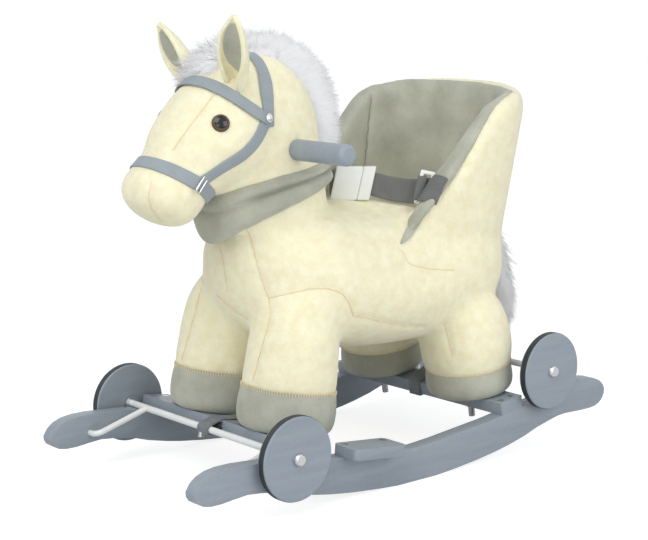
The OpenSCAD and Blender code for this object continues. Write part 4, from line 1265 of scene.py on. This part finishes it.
def metre_uv(obj, across, along):
    """Makes a strip's UV map run in metres, so the weave keeps its size."""
    layer = obj.data.uv_layers.active.data
    flat = np.empty(len(layer) * 2, np.float32)
    layer.foreach_get("uv", flat)
    flat = flat.reshape(-1, 2) * np.array((across, along), np.float32)
    layer.foreach_set("uv", flat.ravel())


def path_length(points):
    points = np.asarray(points)
    return float(np.linalg.norm(np.diff(points, axis=0), axis=1).sum())


def laid_strap(name, middle, sideways, width, lift, thick, material, slot, closed=False, onto=None,
               body=ROOT):
    """A strip along a path, pulled onto a piece. Middle and sideways are in metres."""
    middle = np.asarray(middle, float)
    sideways = np.asarray(sideways, float)
    rows = np.array([[m + s * width * k for k in STRIP_SHARES]
                     for m, s in zip(middle, sideways)])
    obj = wrapped_grid(name, rows, closed=False, caps=False)
    metre_uv(obj, width, path_length(middle))
    if closed:
        open_edit(obj)
        bpy.ops.mesh.remove_doubles(threshold=STRIP_MERGE)
        close_edit()
    if onto is not None:
        apply_new(obj, "SHRINKWRAP", target=onto, wrap_method="NEAREST_SURFACEPOINT",
                  wrap_mode="OUTSIDE_SURFACE", offset=lift)
        apply_new(obj, "SMOOTH", factor=0.5, iterations=3)
    apply_new(obj, "SOLIDIFY", thickness=thick, offset=0.0)
    apply_new(obj, "SUBSURF", levels=1, render_levels=1)
    face_out(obj)
    bpy.ops.object.shade_smooth_by_angle(angle=math.radians(50))
    return dress(obj, material, slot, body=body)


head_table = np.array(HEAD_ROWS, float)


def head_ring(s, angle, grow=3):
    """A point round the head at s. Angle 0 is the brow, a quarter turn is the left cheek."""
    n0 = look(head_table, s)
    d = look(head_table, s, 2) + grow
    w = look(head_table, s, 3) + grow
    return at([head_point(s, n0 + d * math.cos(angle), w * math.sin(angle))])[0]


print("strap tools ready")

# %% bridle straps
STRAP_WIDTH = 0.0165
STRAP_THICK = 0.0020


def bridle_strap(name, middle, sideways, lift, closed=False):
    """One strap of the bridle, laid on the head."""
    return laid_strap(name, middle, sideways, STRAP_WIDTH, lift, STRAP_THICK, blue_strap,
                      "blue_strap", closed, skin)


def unit_rows(rows):
    """Rows of a table of directions, each made one long."""
    return rows / np.linalg.norm(rows, axis=1)[:, None]


LIFTS = {"nose": 0.0012, "brow": 0.0030, "cheek": 0.0010, "crown": 0.0018}
NOSEBAND_AT = 109
NOSEBAND_TILT = 9
BROW_TURN = 1.72
BROW_RISE = 10
BROW_LEVEL = 1.65
turns = np.linspace(0, 2 * math.pi, 97)
path = [head_ring(NOSEBAND_AT + NOSEBAND_TILT * math.cos(a), a) for a in turns]
noseband = bridle_strap("noseband_strap", path, [NOSE_WAY] * len(path), LIFTS["nose"], True)
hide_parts("noseband")
turns = np.linspace(-BROW_TURN, BROW_TURN, 61)
path = [head_ring(BROW_RISE * (1 - (a / BROW_LEVEL) ** 4), a) for a in turns]
browband = bridle_strap("browband_strap", path, [NOSE_WAY] * len(path), LIFTS["brow"])
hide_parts("headstall")
print("noseband and browband ready")

# %% cheek straps and crown strap
CHEEK_FROM = -3
CHEEK_RUN = 108
CHEEK_LOW = -3
CHEEK_BOW = 7
CROWN_MIDDLE = (142, 432)
CROWN_SIZE = (6, 66, 70)
CROWN_TURN = math.radians(108)
for side, word in ((1, "left"), (-1, "right")):
    path = []
    for t in np.linspace(0, 1, 31):
        s = CHEEK_FROM + CHEEK_RUN * t
        low = CHEEK_LOW - CHEEK_BOW * math.sin(math.pi * t)
        lean = max(-1.0, min(1.0, low / look(head_table, s, 2)))
        path.append(head_ring(s, side * math.acos(lean)))
    path = eased_path(path)
    face = np.array([nearest(ground, p)[1] for p in path])
    across = unit_rows(np.cross(unit_rows(np.gradient(path, axis=0)), face))
    bridle_strap("cheek_strap_" + word, path, across, LIFTS["cheek"])
crown = at([(CROWN_MIDDLE[0] - CROWN_SIZE[0] * math.cos(a), CROWN_SIZE[1] * math.sin(a),
             CROWN_MIDDLE[1] + CROWN_SIZE[2] * math.cos(a))
            for a in np.linspace(-1.0, 1.0, 61) * CROWN_TURN])
bridle_strap("crown_strap", crown, [(1.0, 0.0, 0.0)] * len(crown), LIFTS["crown"])
print("bridle straps ready")

# %% [markdown]
# The bridle's metal is a domed rivet on each cheek and a bent wire slide at each side of the
# nose. The rivet is a low cylinder whose top is inset in steps, and the slide is a rounded
# loop of wire. Each is turned to face out of the skin where it sits.

# %% rivets and slides of the bridle
STUD_STEPS = [(0.0009, 0.0), (0.0002, 0.0006), (0.0007, 0.0006), (0.0010, 0.0004),
              (0.0011, 0.0001)]
STUD_LIFT = 0.0042
SLIDE_FACTS = {"width": 0.0070, "height": 0.0195, "radius": 0.0009}
SLIDE_CORNER = 0.0022
SLIDE_LIFT = 0.0044


def domed_stud():
    """A low dome on a flat washer, made about the origin and facing Z."""
    clear_selection()
    bpy.ops.mesh.primitive_cylinder_add(vertices=32, radius=0.0050, depth=0.0012,
                                        location=(0, 0, 0.0006))
    stud = bpy.context.object
    bpy.ops.object.mode_set(mode="EDIT")
    bpy.ops.mesh.select_all(action="DESELECT")
    bpy.ops.object.mode_set(mode="OBJECT")
    for face in stud.data.polygons:
        face.select = face.normal.z > 0.9
    bpy.ops.object.mode_set(mode="EDIT")
    bpy.ops.mesh.select_mode(type="FACE")
    for inset, rise in STUD_STEPS:
        bpy.ops.mesh.inset(thickness=inset, depth=rise)
    close_edit()
    bpy.ops.object.transform_apply(location=True)
    return stud


def wire_slide(width, height, radius):
    """A small bent wire frame, made about the origin in X and Y."""
    corners = []
    r = SLIDE_CORNER
    for cx, cy, first in ((1, 1, 0), (-1, 1, 90), (-1, -1, 180), (1, -1, 270)):
        for k in range(5):
            a = math.radians(first + 90 * k / 4)
            corners.append((cx * (width / 2 - r) + r * math.cos(a),
                            cy * (height / 2 - r) + r * math.sin(a), 0))
    return curve_mesh("wire_slide", [corners], radius, 3, True)


metal = []
for side in (1, -1):
    close, normal = nearest(ground, head_ring(0, side * math.acos(-3 / 60)))
    metal.append(place_mesh(domed_stud(), close + normal * STUD_LIFT, normal))
    close, normal = nearest(ground, head_ring(108, side * math.acos(-0.02)))
    metal.append(place_mesh(wire_slide(**SLIDE_FACTS), close + normal * SLIDE_LIFT, normal,
                            NOSE_WAY))
metal = join_all(metal, "bridle_metal")
bpy.ops.object.shade_smooth_by_angle(angle=SHARP_TURN)
dress(metal, chrome, "chrome", "bridle_rivets")
print("bridle metal ready")

# %% [markdown]
# Below the belt the lining runs out in a narrow point along the front edge of each wing. It
# is a padded strip on the plush. Its two edges are lines of the picture, and the inner one
# stops where the wing turns out of sight. The far wing gets the same strip, mirrored.

# %% pointed ends of the lining
TIP_INNER = [(417.5, 207.5), (413.4, 214.7), (406.5, 227.7), (402, 236.9), (400, 244)]
TIP_OUTER = [(430.5, 207), (425.6, 215.4), (418, 227.7), (411, 238.4), (400.6, 244.8)]
TIP_LIFT = 0.0012
TIP_THICK = 0.0030
FAR_TIP_SHIFT = 0.007
WING_STEP = 0.005


def even_line(pixels, count):
    """A line of the picture in equal steps."""
    pixels = np.array(pixels, float)
    gone = np.concatenate([[0], np.cumsum(np.linalg.norm(np.diff(pixels, axis=0), axis=1))])
    steps = np.linspace(0, gone[-1], count)
    return np.stack([np.interp(steps, gone, pixels[:, k]) for k in (0, 1)], 1)


def wing_edges(inner, outer, count, hit):
    """Two edges on the wing: the inner one stops where the wing turns out of sight."""
    pairs = []
    for far_end, near_end in zip(even_line(outer, count), even_line(inner, count)):
        first = last = hit(*far_end)
        for k in np.linspace(0.05, 1.0, 20):
            spot = hit(*(far_end + (near_end - far_end) * k))
            if (spot - last).length > WING_STEP:
                break
            last = spot
        pairs.append((last, first))
    return [eased_path([pair[k] for pair in pairs], 5) for k in (0, 1)]


tip_edges = wing_edges(TIP_INNER, TIP_OUTER, 26,
                       lambda px, py: ground.ray_cast(CAMERA_PLACE, sight(px, py))[0])
for word, flip, shift in (("left", 1.0, 0.0), ("right", -1.0, FAR_TIP_SHIFT)):
    inner_edge, outer_edge = [edge * np.array((1.0, flip, 1.0)) + np.array((shift, 0.0, 0.0))
                              for edge in tip_edges]
    tip = laid_strap("lining_tip_" + word, (inner_edge + outer_edge) / 2,
                     outer_edge - inner_edge, 1.0, TIP_LIFT, TIP_THICK, grey_suede,
                     "grey_suede", False, skin)
print("lining ends ready")

# %% [markdown]
# Mane and tail are long soft pile. Particle hair doesn't reach the exported model, so a core
# carries the mass and thousands of tapered strands stand on it. One strand is modelled and
# copied, with a tone of its own on each copy.

# %% finish of the pile
pile_fur = bpy.data.materials.new("pile_fur")
pile_fur.use_nodes = True
tree = pile_fur.node_tree
shader = tree.nodes["Principled BSDF"]
tone = tree.nodes.new("ShaderNodeAttribute")
tone.attribute_name = "tone"
coords = tree.nodes.new("ShaderNodeTexCoord").outputs["Object"]
patches = noise(tree, coords, 45.0, 3.0, 0.55)
ramp = two_tone(tree, 0.2, 0.8, (0.86, 0.86, 0.875), (0.97, 0.97, 0.975))
shade = calc(tree, "ADD", calc(tree, "MULTIPLY", tone.outputs["Fac"], 0.6),
             calc(tree, "MULTIPLY", patches, 0.4))
wire(tree, (shade, ramp.inputs["Fac"]), (ramp.outputs["Color"], shader.inputs["Base Color"]),
     (calc(tree, "MULTIPLY_ADD", patches, 0.2, 0.5), shader.inputs["Roughness"]))
shader.inputs["Sheen Weight"].default_value = 0.4
shader.inputs["Subsurface Weight"].default_value = 0.0
shader.inputs["Specular IOR Level"].default_value = 0.25
print("finish", pile_fur.name)

# %% one strand
STRAND_KNEE = 0.5
KNEE_SWELL = 1.6
clear_selection()
bpy.ops.mesh.primitive_cone_add(vertices=3, radius1=1.0, radius2=0.0, depth=1.0,
                                end_fill_type="TRIFAN", location=(0, 0, 0.5))
strand = bpy.context.object
bpy.ops.object.transform_apply(location=True)
open_edit(strand)
bpy.ops.mesh.bisect(plane_co=(0, 0, STRAND_KNEE), plane_no=(0, 0, 1))
bpy.ops.mesh.select_all(action="SELECT")
bpy.ops.mesh.quads_convert_to_tris()
close_edit()
strand_spots = spots(strand)
knee = np.abs(strand_spots[:, 2] - STRAND_KNEE) < 0.01
strand_spots[knee, :2] *= KNEE_SWELL
strand_faces = np.array([list(f.vertices) for f in strand.data.polygons])
bpy.data.objects.remove(strand)
print("strand", len(strand_spots), "points", len(strand_faces), "faces")

# %% places of the strands
def surface_samples(obj, count, rng):
    """Even random places on a mesh, with the normal at each."""
    mesh = obj.data
    mesh.calc_loop_triangles()
    corners = np.array([t.vertices[:] for t in mesh.loop_triangles])
    places = spots(obj)
    normals = spots(obj, "normal")
    a, b, c = places[corners[:, 0]], places[corners[:, 1]], places[corners[:, 2]]
    area = np.linalg.norm(np.cross(b - a, c - a), axis=1)
    chosen = rng.choice(len(corners), count, p=area / area.sum())
    u = np.sqrt(rng.random(count))
    v = rng.random(count)
    weights = np.stack([1 - u, u * (1 - v), u * v], 1)[:, :, None]
    at_places = (np.stack([a, b, c], 1)[chosen] * weights).sum(1)
    at_normals = (normals[corners][chosen] * weights).sum(1)
    return at_places, unit_rows(at_normals)


print("strands are spread by area")

# %% fur
STRAND_WIDTH = 0.0006
CLUMP_SIZE = 22
CLUMP_PULL = 0.42
ROOT_SINK = 0.003
CURL = 0.16
LIT_WAY = np.array((0.10, 0.10, 0.20))
ROUNDING = 14.0
CORE_TONE = 0.35


def fur(name, core, count, length, width, flow, spread, droop, seed, longer=None, shade_lift=0.0):
    """Strands on a core. Flow gives the way the pile is combed at each place."""
    rng = np.random.default_rng(seed)
    roots, normals = surface_samples(core, count, rng)
    way = unit_rows(flow(roots, normals) + rng.normal(0, spread, (count, 3)))
    side = unit_rows(np.cross(way, rng.normal(0, 1, (count, 3))))
    other = np.cross(way, side)
    long = length * rng.uniform(0.7, 1.15, count)
    if longer is not None:
        long = longer(roots, way, long)
    thick = width * rng.uniform(0.7, 1.2, count)
    curl = rng.normal(0, CURL, (count, 2))
    t = strand_spots[:, 2]
    points = (roots[:, None] - normals[:, None] * ROOT_SINK
              + way[:, None] * (t[None, :, None] * long[:, None, None])
              + side[:, None] * (strand_spots[None, :, 0:1] * thick[:, None, None])
              + other[:, None] * (strand_spots[None, :, 1:2] * thick[:, None, None]))
    bend = (t**2)[None, :, None] * long[:, None, None]
    points += (side[:, None] * (bend * curl[:, 0, None, None])
               + other[:, None] * (bend * curl[:, 1, None, None]))
    points[:, :, 2] -= (t**2)[None, :] * long[:, None] * droop
    tips = roots + way * long[:, None]
    clump_tips = tips[rng.choice(count, count // CLUMP_SIZE, replace=False)]
    finder = KDTree(len(clump_tips))
    for k, tip_place in enumerate(clump_tips):
        finder.insert(tip_place, k)
    finder.balance()
    pull = clump_tips[[finder.find(tip_place)[1] for tip_place in tips]] - tips
    points += pull[:, None] * ((t**2)[None, :, None] * CLUMP_PULL)
    faces = strand_faces[None] + (np.arange(count) * len(strand_spots))[:, None, None]
    mesh = bpy.data.meshes.new(name)
    mesh.from_pydata(points.reshape(-1, 3).tolist(), [], faces.reshape(-1, 3).tolist())
    tones = np.repeat(rng.random(count), len(strand_spots))
    # The lift raises every tone towards the light end, painting light on pile that lies in shade.
    tones = shade_lift + (1 - shade_lift) * (0.75 * tones + 0.25 * np.tile(t, count))
    set_tone(mesh, tones)
    obj = bpy.data.objects.new(name, mesh)
    scene.collection.objects.link(obj)
    pick(obj)
    bpy.ops.object.shade_smooth()
    lit_way = normals + LIT_WAY
    soft = lit_way[:, None] + (points - points.mean(1, keepdims=True)) * ROUNDING
    soft /= np.linalg.norm(soft, axis=2)[:, :, None]
    mesh.normals_split_custom_set_from_vertices(soft.reshape(-1, 3).tolist())
    obj.visible_shadow = False
    return dress(obj, pile_fur, "pile_fur")


def set_tone(mesh, tones):
    """Writes the tone that the finish of the pile reads at each vertex."""
    mark = mesh.attributes.new("tone", "FLOAT", "POINT")
    mark.data.foreach_set("value", np.asarray(tones, np.float32))


def core_finish(obj, node):
    """The mass under the strands, in one even tone."""
    set_tone(obj.data, np.full(len(obj.data.vertices), CORE_TONE))
    pick(obj)
    bpy.ops.object.shade_smooth()
    return dress(obj, pile_fur, "pile_fur", node)


print("fur tools ready")

# %% core of the mane
# The outline of the mane from forelock to withers, outside and inside.
MANE_OUTER = [
    (195, 484), (184, 499), (152, 512), (104, 516), (60, 506), (27, 483), (8, 450), (0, 421),
    (0, 386), (8, 374)]
MANE_INNER = [
    (166, 448), (150, 452), (128, 455), (110, 455), (88, 446), (70, 430), (63, 412), (58, 396),
    (53, 382), (50, 374)]
PILE_REACH = 17.0
MANE_HALF = 15
FORELOCK_MORE = 13
FORELOCK_SHARE = 0.3
mane_rows = finer([(a[0], a[1], b[0], b[1]) for a, b in zip(MANE_OUTER, MANE_INNER)], 4)
mane_points = []
for k, (ox, oz, ix, iz) in enumerate(mane_rows):
    share = k / (len(mane_rows) - 1)
    end_ease = min(1.0, 0.55 + 4.0 * share, 0.45 + 4.0 * (1 - share))
    forelock = max(0.0, 1 - share / FORELOCK_SHARE)
    half_wide = (MANE_HALF + FORELOCK_MORE * forelock) * end_ease
    outer, inner = np.array((ox, oz)), np.array((ix, iz))
    outer = outer - (outer - inner) * PILE_REACH / np.linalg.norm(outer - inner)
    ring = []
    for a in np.linspace(0, 2 * math.pi, 28, endpoint=False):
        spot = (outer + inner) / 2 + (outer - inner) / 2 * end_ease * math.cos(a)
        ring.append((spot[0], half_wide * math.sin(a), spot[1]))
    mane_points.append(ring)
mane_core = core_finish(wrapped_grid("mane_core", at(mane_points)), "mane")
print("mane core faces", len(mane_core.data.polygons))

# %% strands of the mane and forelock
FORELOCK_FROM = 0.150
MANE_CENTRE = np.array((0.118, 0.0, 0.405))


def mane_flow(roots, normals):
    """Outwards from the neck and a little back along the crest, but down over the brow."""
    out = roots - MANE_CENTRE
    out[:, 1] *= 0.35
    out = unit_rows(out)
    back = np.stack([-np.abs(out[:, 2]), np.zeros(len(out)), out[:, 0]], 1)
    forelock = np.clip((roots[:, 0] - FORELOCK_FROM) / 0.03, 0, 1)[:, None]
    down = np.array((1.0, 0.0, -0.35)) + normals * np.array((0.0, 0.5, 0.0))
    down[:, 1] -= 0.45 * (roots[:, 1] < 0)
    crest = normals * 0.75 + out * 0.7 + back * 0.12
    return crest * (1 - forelock) + (normals * 0.35 + down) * forelock


def forelock_length(roots, way, long):
    """Longer over the brow, but cut off above the browband."""
    far_more = np.where(roots[:, 1] < -0.004, 0.9, 0.5)
    long = long * (1.0 + far_more * np.clip((roots[:, 0] - FORELOCK_FROM) / 0.04, 0, 1))
    gone = (roots - at([HEAD_ORIGIN])[0]) @ NOSE_WAY
    speed = np.maximum(way @ NOSE_WAY, 0.05)
    room = np.where(roots[:, 1] > -0.010, -0.001, 0.014) - gone
    long = np.minimum(long, room / speed)
    beside = (roots[:, 1] > 0.011) & (roots[:, 0] > 0.105)
    return np.clip(np.where(beside, np.minimum(long, 0.010), long), 0.004, None)


mane_fur = fur("mane_fur", mane_core, count=19000, length=0.025, width=STRAND_WIDTH,
               flow=mane_flow, spread=0.24, droop=0.12, seed=11, longer=forelock_length)
print("mane strands", len(mane_fur.data.polygons))

# %% tail
# Height, middle, half length and half width.
TAIL_ROWS = [(304, -237, 9, 11), (286, -253, 16, 19), (256, -271, 21, 25), (217, -283, 23, 27),
             (182, -291, 22, 25), (160, -295, 17, 18), (150, -297, 9, 9)]
tail_points = stack(TAIL_ROWS, lambda u, v, z, x, rx, ry: (
    x + 6 + 0.5 * rx * u, 0.6 * ry * v, z), 28, 2.0)
tail_core = core_finish(wrapped_grid("tail_core", tail_points), "tail")


def tail_flow(roots, normals):
    """Straight down, a little outwards."""
    return normals * 0.55 + np.array((-0.05, 0.0, -1.9))


# The tail lies in shade at the back, so its tones are lifted halfway towards white: painted light.
tail_fur = fur("tail_fur", tail_core, count=10000, length=0.038, width=STRAND_WIDTH,
               flow=tail_flow, spread=0.24, droop=0.05, seed=12, shade_lift=0.5)
print("tail strands", len(tail_fur.data.polygons))

# %% [markdown]
# The kerchief is one strip of suede, folded over itself and tied round the neck. It could be
# draped by simulation, but it is held tight, so a grid that runs once round the neck is
# enough. Its section rolls out at the top, sinks into the fold and swells again below.

# %% kerchief
# Place along the horse and height, for the upper and the lower edge.
SCARF_TOP = np.array([(0, 372), (58, 365), (126, 357), (170, 346), (190, 338), (240, 330)])
SCARF_LOW = np.array([(0, 350), (55, 339), (120, 321), (150, 309), (170, 298), (184, 284),
                      (196, 272), (205, 268)])
# Share of the way down, and how far out the cloth stands there.
SCARF_FOLD = np.array([
    (0.0, 1.0), (0.05, 5.5), (0.14, 9.2), (0.24, 9.8), (0.31, 7.2), (0.355, 2.6), (0.39, 2.4),
    (0.44, 6.6), (0.52, 9.6), (0.66, 10.8), (0.80, 10.6), (0.91, 8.6), (0.97, 5.0), (1.0, 1.5)])
SCARF_THICK = 0.0012
neck_table = np.array(NECK_ROWS, float)


def neck_spot(angle, z, out):
    """A point round the neck at a height, out millimetres from the plush."""
    rx = look(neck_table, z, 2) + out
    ry = look(neck_table, z, 3) + out
    return look(neck_table, z) + rx * math.cos(angle), ry * math.sin(angle)


def scarf_rows(count_v=40, count_u=96):
    """Rows of points from the upper edge of the strip to the lower one."""
    rows = []
    for v in np.linspace(0, 1, count_v):
        row = []
        for i in range(count_u):
            a = 2 * math.pi * i / count_u
            z = 345.0
            for _ in range(8):
                x, _y = neck_spot(a, z, 6)
                top = look(SCARF_TOP, x)
                low = look(SCARF_LOW, x)
                z = top + (low - top) * v
            out = look(SCARF_FOLD, v)
            ripple = 0.9 * math.sin(3 * a + 5 * v) + 0.6 * math.sin(7 * a - 4 * v)
            out += ripple * math.sin(math.pi * v)
            out *= 1.0 - 0.6 * max(0.0, 2 * math.cos(a) - 1.0)
            x, y = neck_spot(a, z, out)
            row.append((x, y, z))
        rows.append(row)
    return at(rows)


scarf = wrapped_grid("kerchief", scarf_rows(), closed=True, caps=False)
apply_new(scarf, "SOLIDIFY", thickness=SCARF_THICK, offset=-1.0)
bpy.ops.object.shade_smooth()
dress(scarf, grey_suede, "grey_suede", "scarf")

# %% [markdown]
# The lap belt is flat webbing in two halves with a white plastic buckle. Each half is a strip
# along a line that sags a little, because a remesh would lose so thin a band. The buckle
# halves are eased copies of their solids, sheared so that they lean as the webbing does.

# %% lap belt
BELT_APEX = np.array((4.02, 0.0, 333.413))
BELT_WAY = np.array((0.77116, -0.63664, 0.0))
BELT_FACE = np.array((0.63664, 0.77116, 0.0))
BELT_WIDTH = 0.030
BELT_THICK = 0.0018
SLIDER_LEAN = math.radians(12)
BELT_START = -150.8
BELT_SAG = 9.0
BELT_LEAD = 16.0


def belt_line(start, stop, mirrored, count=48, sag=0.0, lead=0.0):
    """Points along one half, from the wing to the buckle."""
    path = []
    for t in np.linspace(0, 1, count):
        reach = start + (stop - start) * t
        spot = BELT_APEX + BELT_WAY * reach + BELT_FACE * (lead * (1 - t))
        spot[2] -= sag * math.sin(math.pi * t)
        if mirrored:
            spot[1] = -spot[1]
        path.append(spot)
    return at(path)


def belt_strip(name, path):
    """Upright webbing along a path."""
    return laid_strap(name, path, [(0.0, 0.0, 1.0)] * len(path), BELT_WIDTH, 0.0, BELT_THICK,
                      grey_webbing, "grey_webbing")


belt_left = belt_strip("belt_left_webbing", belt_line(BELT_START, -47.0, False, sag=BELT_SAG,
                                                      lead=BELT_LEAD))
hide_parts("belt_left")
belt_end = [float(v) for v in at([BELT_APEX + BELT_WAY * BELT_START])[0]]
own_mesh(belt_left)
belt_right = belt_strip("belt_right_webbing", np.concatenate(
    [belt_line(BELT_START, -2.0, True, 60, 1.5), belt_line(0.0, -5.0, False, 6)]))
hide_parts("belt_right")
buckle_halves = [
    eased_copy("buckle_socket", 0.0013, white_plastic, "white_plastic"),
    eased_copy("buckle_tongue", 0.0012, white_plastic, "white_plastic", "belt_tongue")]
for half in buckle_halves:
    places = spots(half)
    lean = (places[:, 2] - BELT_APEX[2] / 1000) * math.tan(SLIDER_LEAN)
    set_spots(half, places - lean[:, None] * BELT_WAY)
print("belt ready")

# %% [markdown]
# The slider is a small plastic frame, open in the middle, with the webbing wrapped round one
# bar. A plane is inset and its middle deleted, and the frame that is left gets a thickness
# and eased edges. It moves along the belt, so frame and wrap ride on the slider's body.

# %% belt slider
SLIDER_DROP = 0.004
SLIDER_OUT = 0.0155
SLIDER_SIZE = (0.0175, 0.041, 1.0)
SLIDER_BAR = 0.0043
SLIDER_THICK = 0.0036
SLIDER_EASE = 0.0013
solid = spots(bpy.data.objects["belt_slider"])
slider_mid = (solid.min(0) + solid.max(0)) / 2
slider_mid = slider_mid + BELT_FACE * SLIDER_OUT - np.array((0, 0, SLIDER_DROP))
slider_up = np.array((0, 0, math.cos(SLIDER_LEAN))) - BELT_WAY * math.sin(SLIDER_LEAN)
clear_selection()
bpy.ops.mesh.primitive_plane_add(size=1.0)
slider = bpy.context.object
slider.name = "open_slider"
slider.scale = SLIDER_SIZE
bpy.ops.object.transform_apply(scale=True)
open_edit(slider)
bpy.ops.mesh.select_mode(type="FACE")
bpy.ops.mesh.select_all(action="SELECT")
bpy.ops.mesh.inset(thickness=SLIDER_BAR)
bpy.ops.mesh.delete(type="FACE")
close_edit()
apply_new(slider, "SOLIDIFY", thickness=SLIDER_THICK, offset=0.0)
apply_new(slider, "BEVEL", width=SLIDER_EASE, segments=EASE_STEPS, limit_method="ANGLE")
place_mesh(slider, slider_mid, BELT_FACE, slider_up)
bpy.ops.object.shade_smooth_by_angle(angle=SHARP_TURN)
dress(slider, white_plastic, "white_plastic", "belt_slider", body="belt_slider")
# Along the belt and out of it, round the slider's bar.
WRAP_LINE = [(-0.0005, -0.0016), (0.0060, -0.0030), (0.0098, -0.0022), (0.0108, 0.0),
             (0.0098, 0.0024), (0.0060, 0.0030), (-0.0005, 0.0014)]
wrap_path = [slider_mid + BELT_WAY * along + BELT_FACE * out for along, out in WRAP_LINE]
laid_strap("belt_wrap", wrap_path, [slider_up] * len(WRAP_LINE), BELT_WIDTH, 0.0, BELT_THICK,
           grey_webbing, "grey_webbing", body="belt_slider")
print("slider middle", [round(float(v), 4) for v in slider_mid])

# %% [markdown]
# At the near wing the webbing turns over the rolled edge of the lining. It is a strip between
# two lines of the picture, pulled onto the lining as the bridle is pulled onto the head.

# %% webbing over the rolled edge
BELT_TURN_INNER = [(435, 171.5), (424.5, 200.5)]
BELT_TURN_OUTER = [(449, 179.5), (434.6, 203.0)]
ROLL_IN = np.array((0.0, -0.010, -0.006))
BELT_TURN_LIFT = 0.0032
roll_ground = surface_of(lining)


def roll_spot(px, py):
    """Where a line of sight first meets the lining or the plush."""
    hits = [tree.ray_cast(CAMERA_PLACE, sight(px, py)) for tree in (roll_ground, ground)]
    return min((hit for hit in hits if hit[0] is not None), key=lambda hit: hit[3])[0]


turn_inner, turn_outer = wing_edges(BELT_TURN_INNER, BELT_TURN_OUTER, 22, roll_spot)
turn_inner = turn_inner + ROLL_IN
laid_strap("belt_turn", (turn_inner + turn_outer) / 2, turn_outer - turn_inner, 1.0,
           BELT_TURN_LIFT, BELT_THICK, grey_webbing, "grey_webbing", False, lining)
print("webbing turned over the edge in", len(turn_inner), "steps")

# %% [markdown]
# Two hook-and-loop straps tie the axle rods to the crossbars. Their solids have the right
# shape, so eased copies with a fuzzy finish do.

# %% tie straps
TIE_EASE = 0.0007
loop_tape = finish("loop_tape", nap, {"Fibre": 900.0, "Patch": 60.0, "Patch Share": 0.4},
                   (0.105, 0.115, 0.125), (0.225, 0.242, 0.258), 0.85, 0.7, 0.0009, 0.34, 0.64,
                   Sheen_Weight=0.2)
for name, joint, sign in (("front_strap", "front_axle_swing", 1),
                          ("rear_strap", "rear_axle_swing", -1)):
    tie = eased_copy(name, TIE_EASE, loop_tape, "grey_webbing")
    apply_new(tie, "SUBSURF", levels=1, render_levels=1, subdivision_type="SIMPLE")
    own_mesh(tie)
print("ties ready")
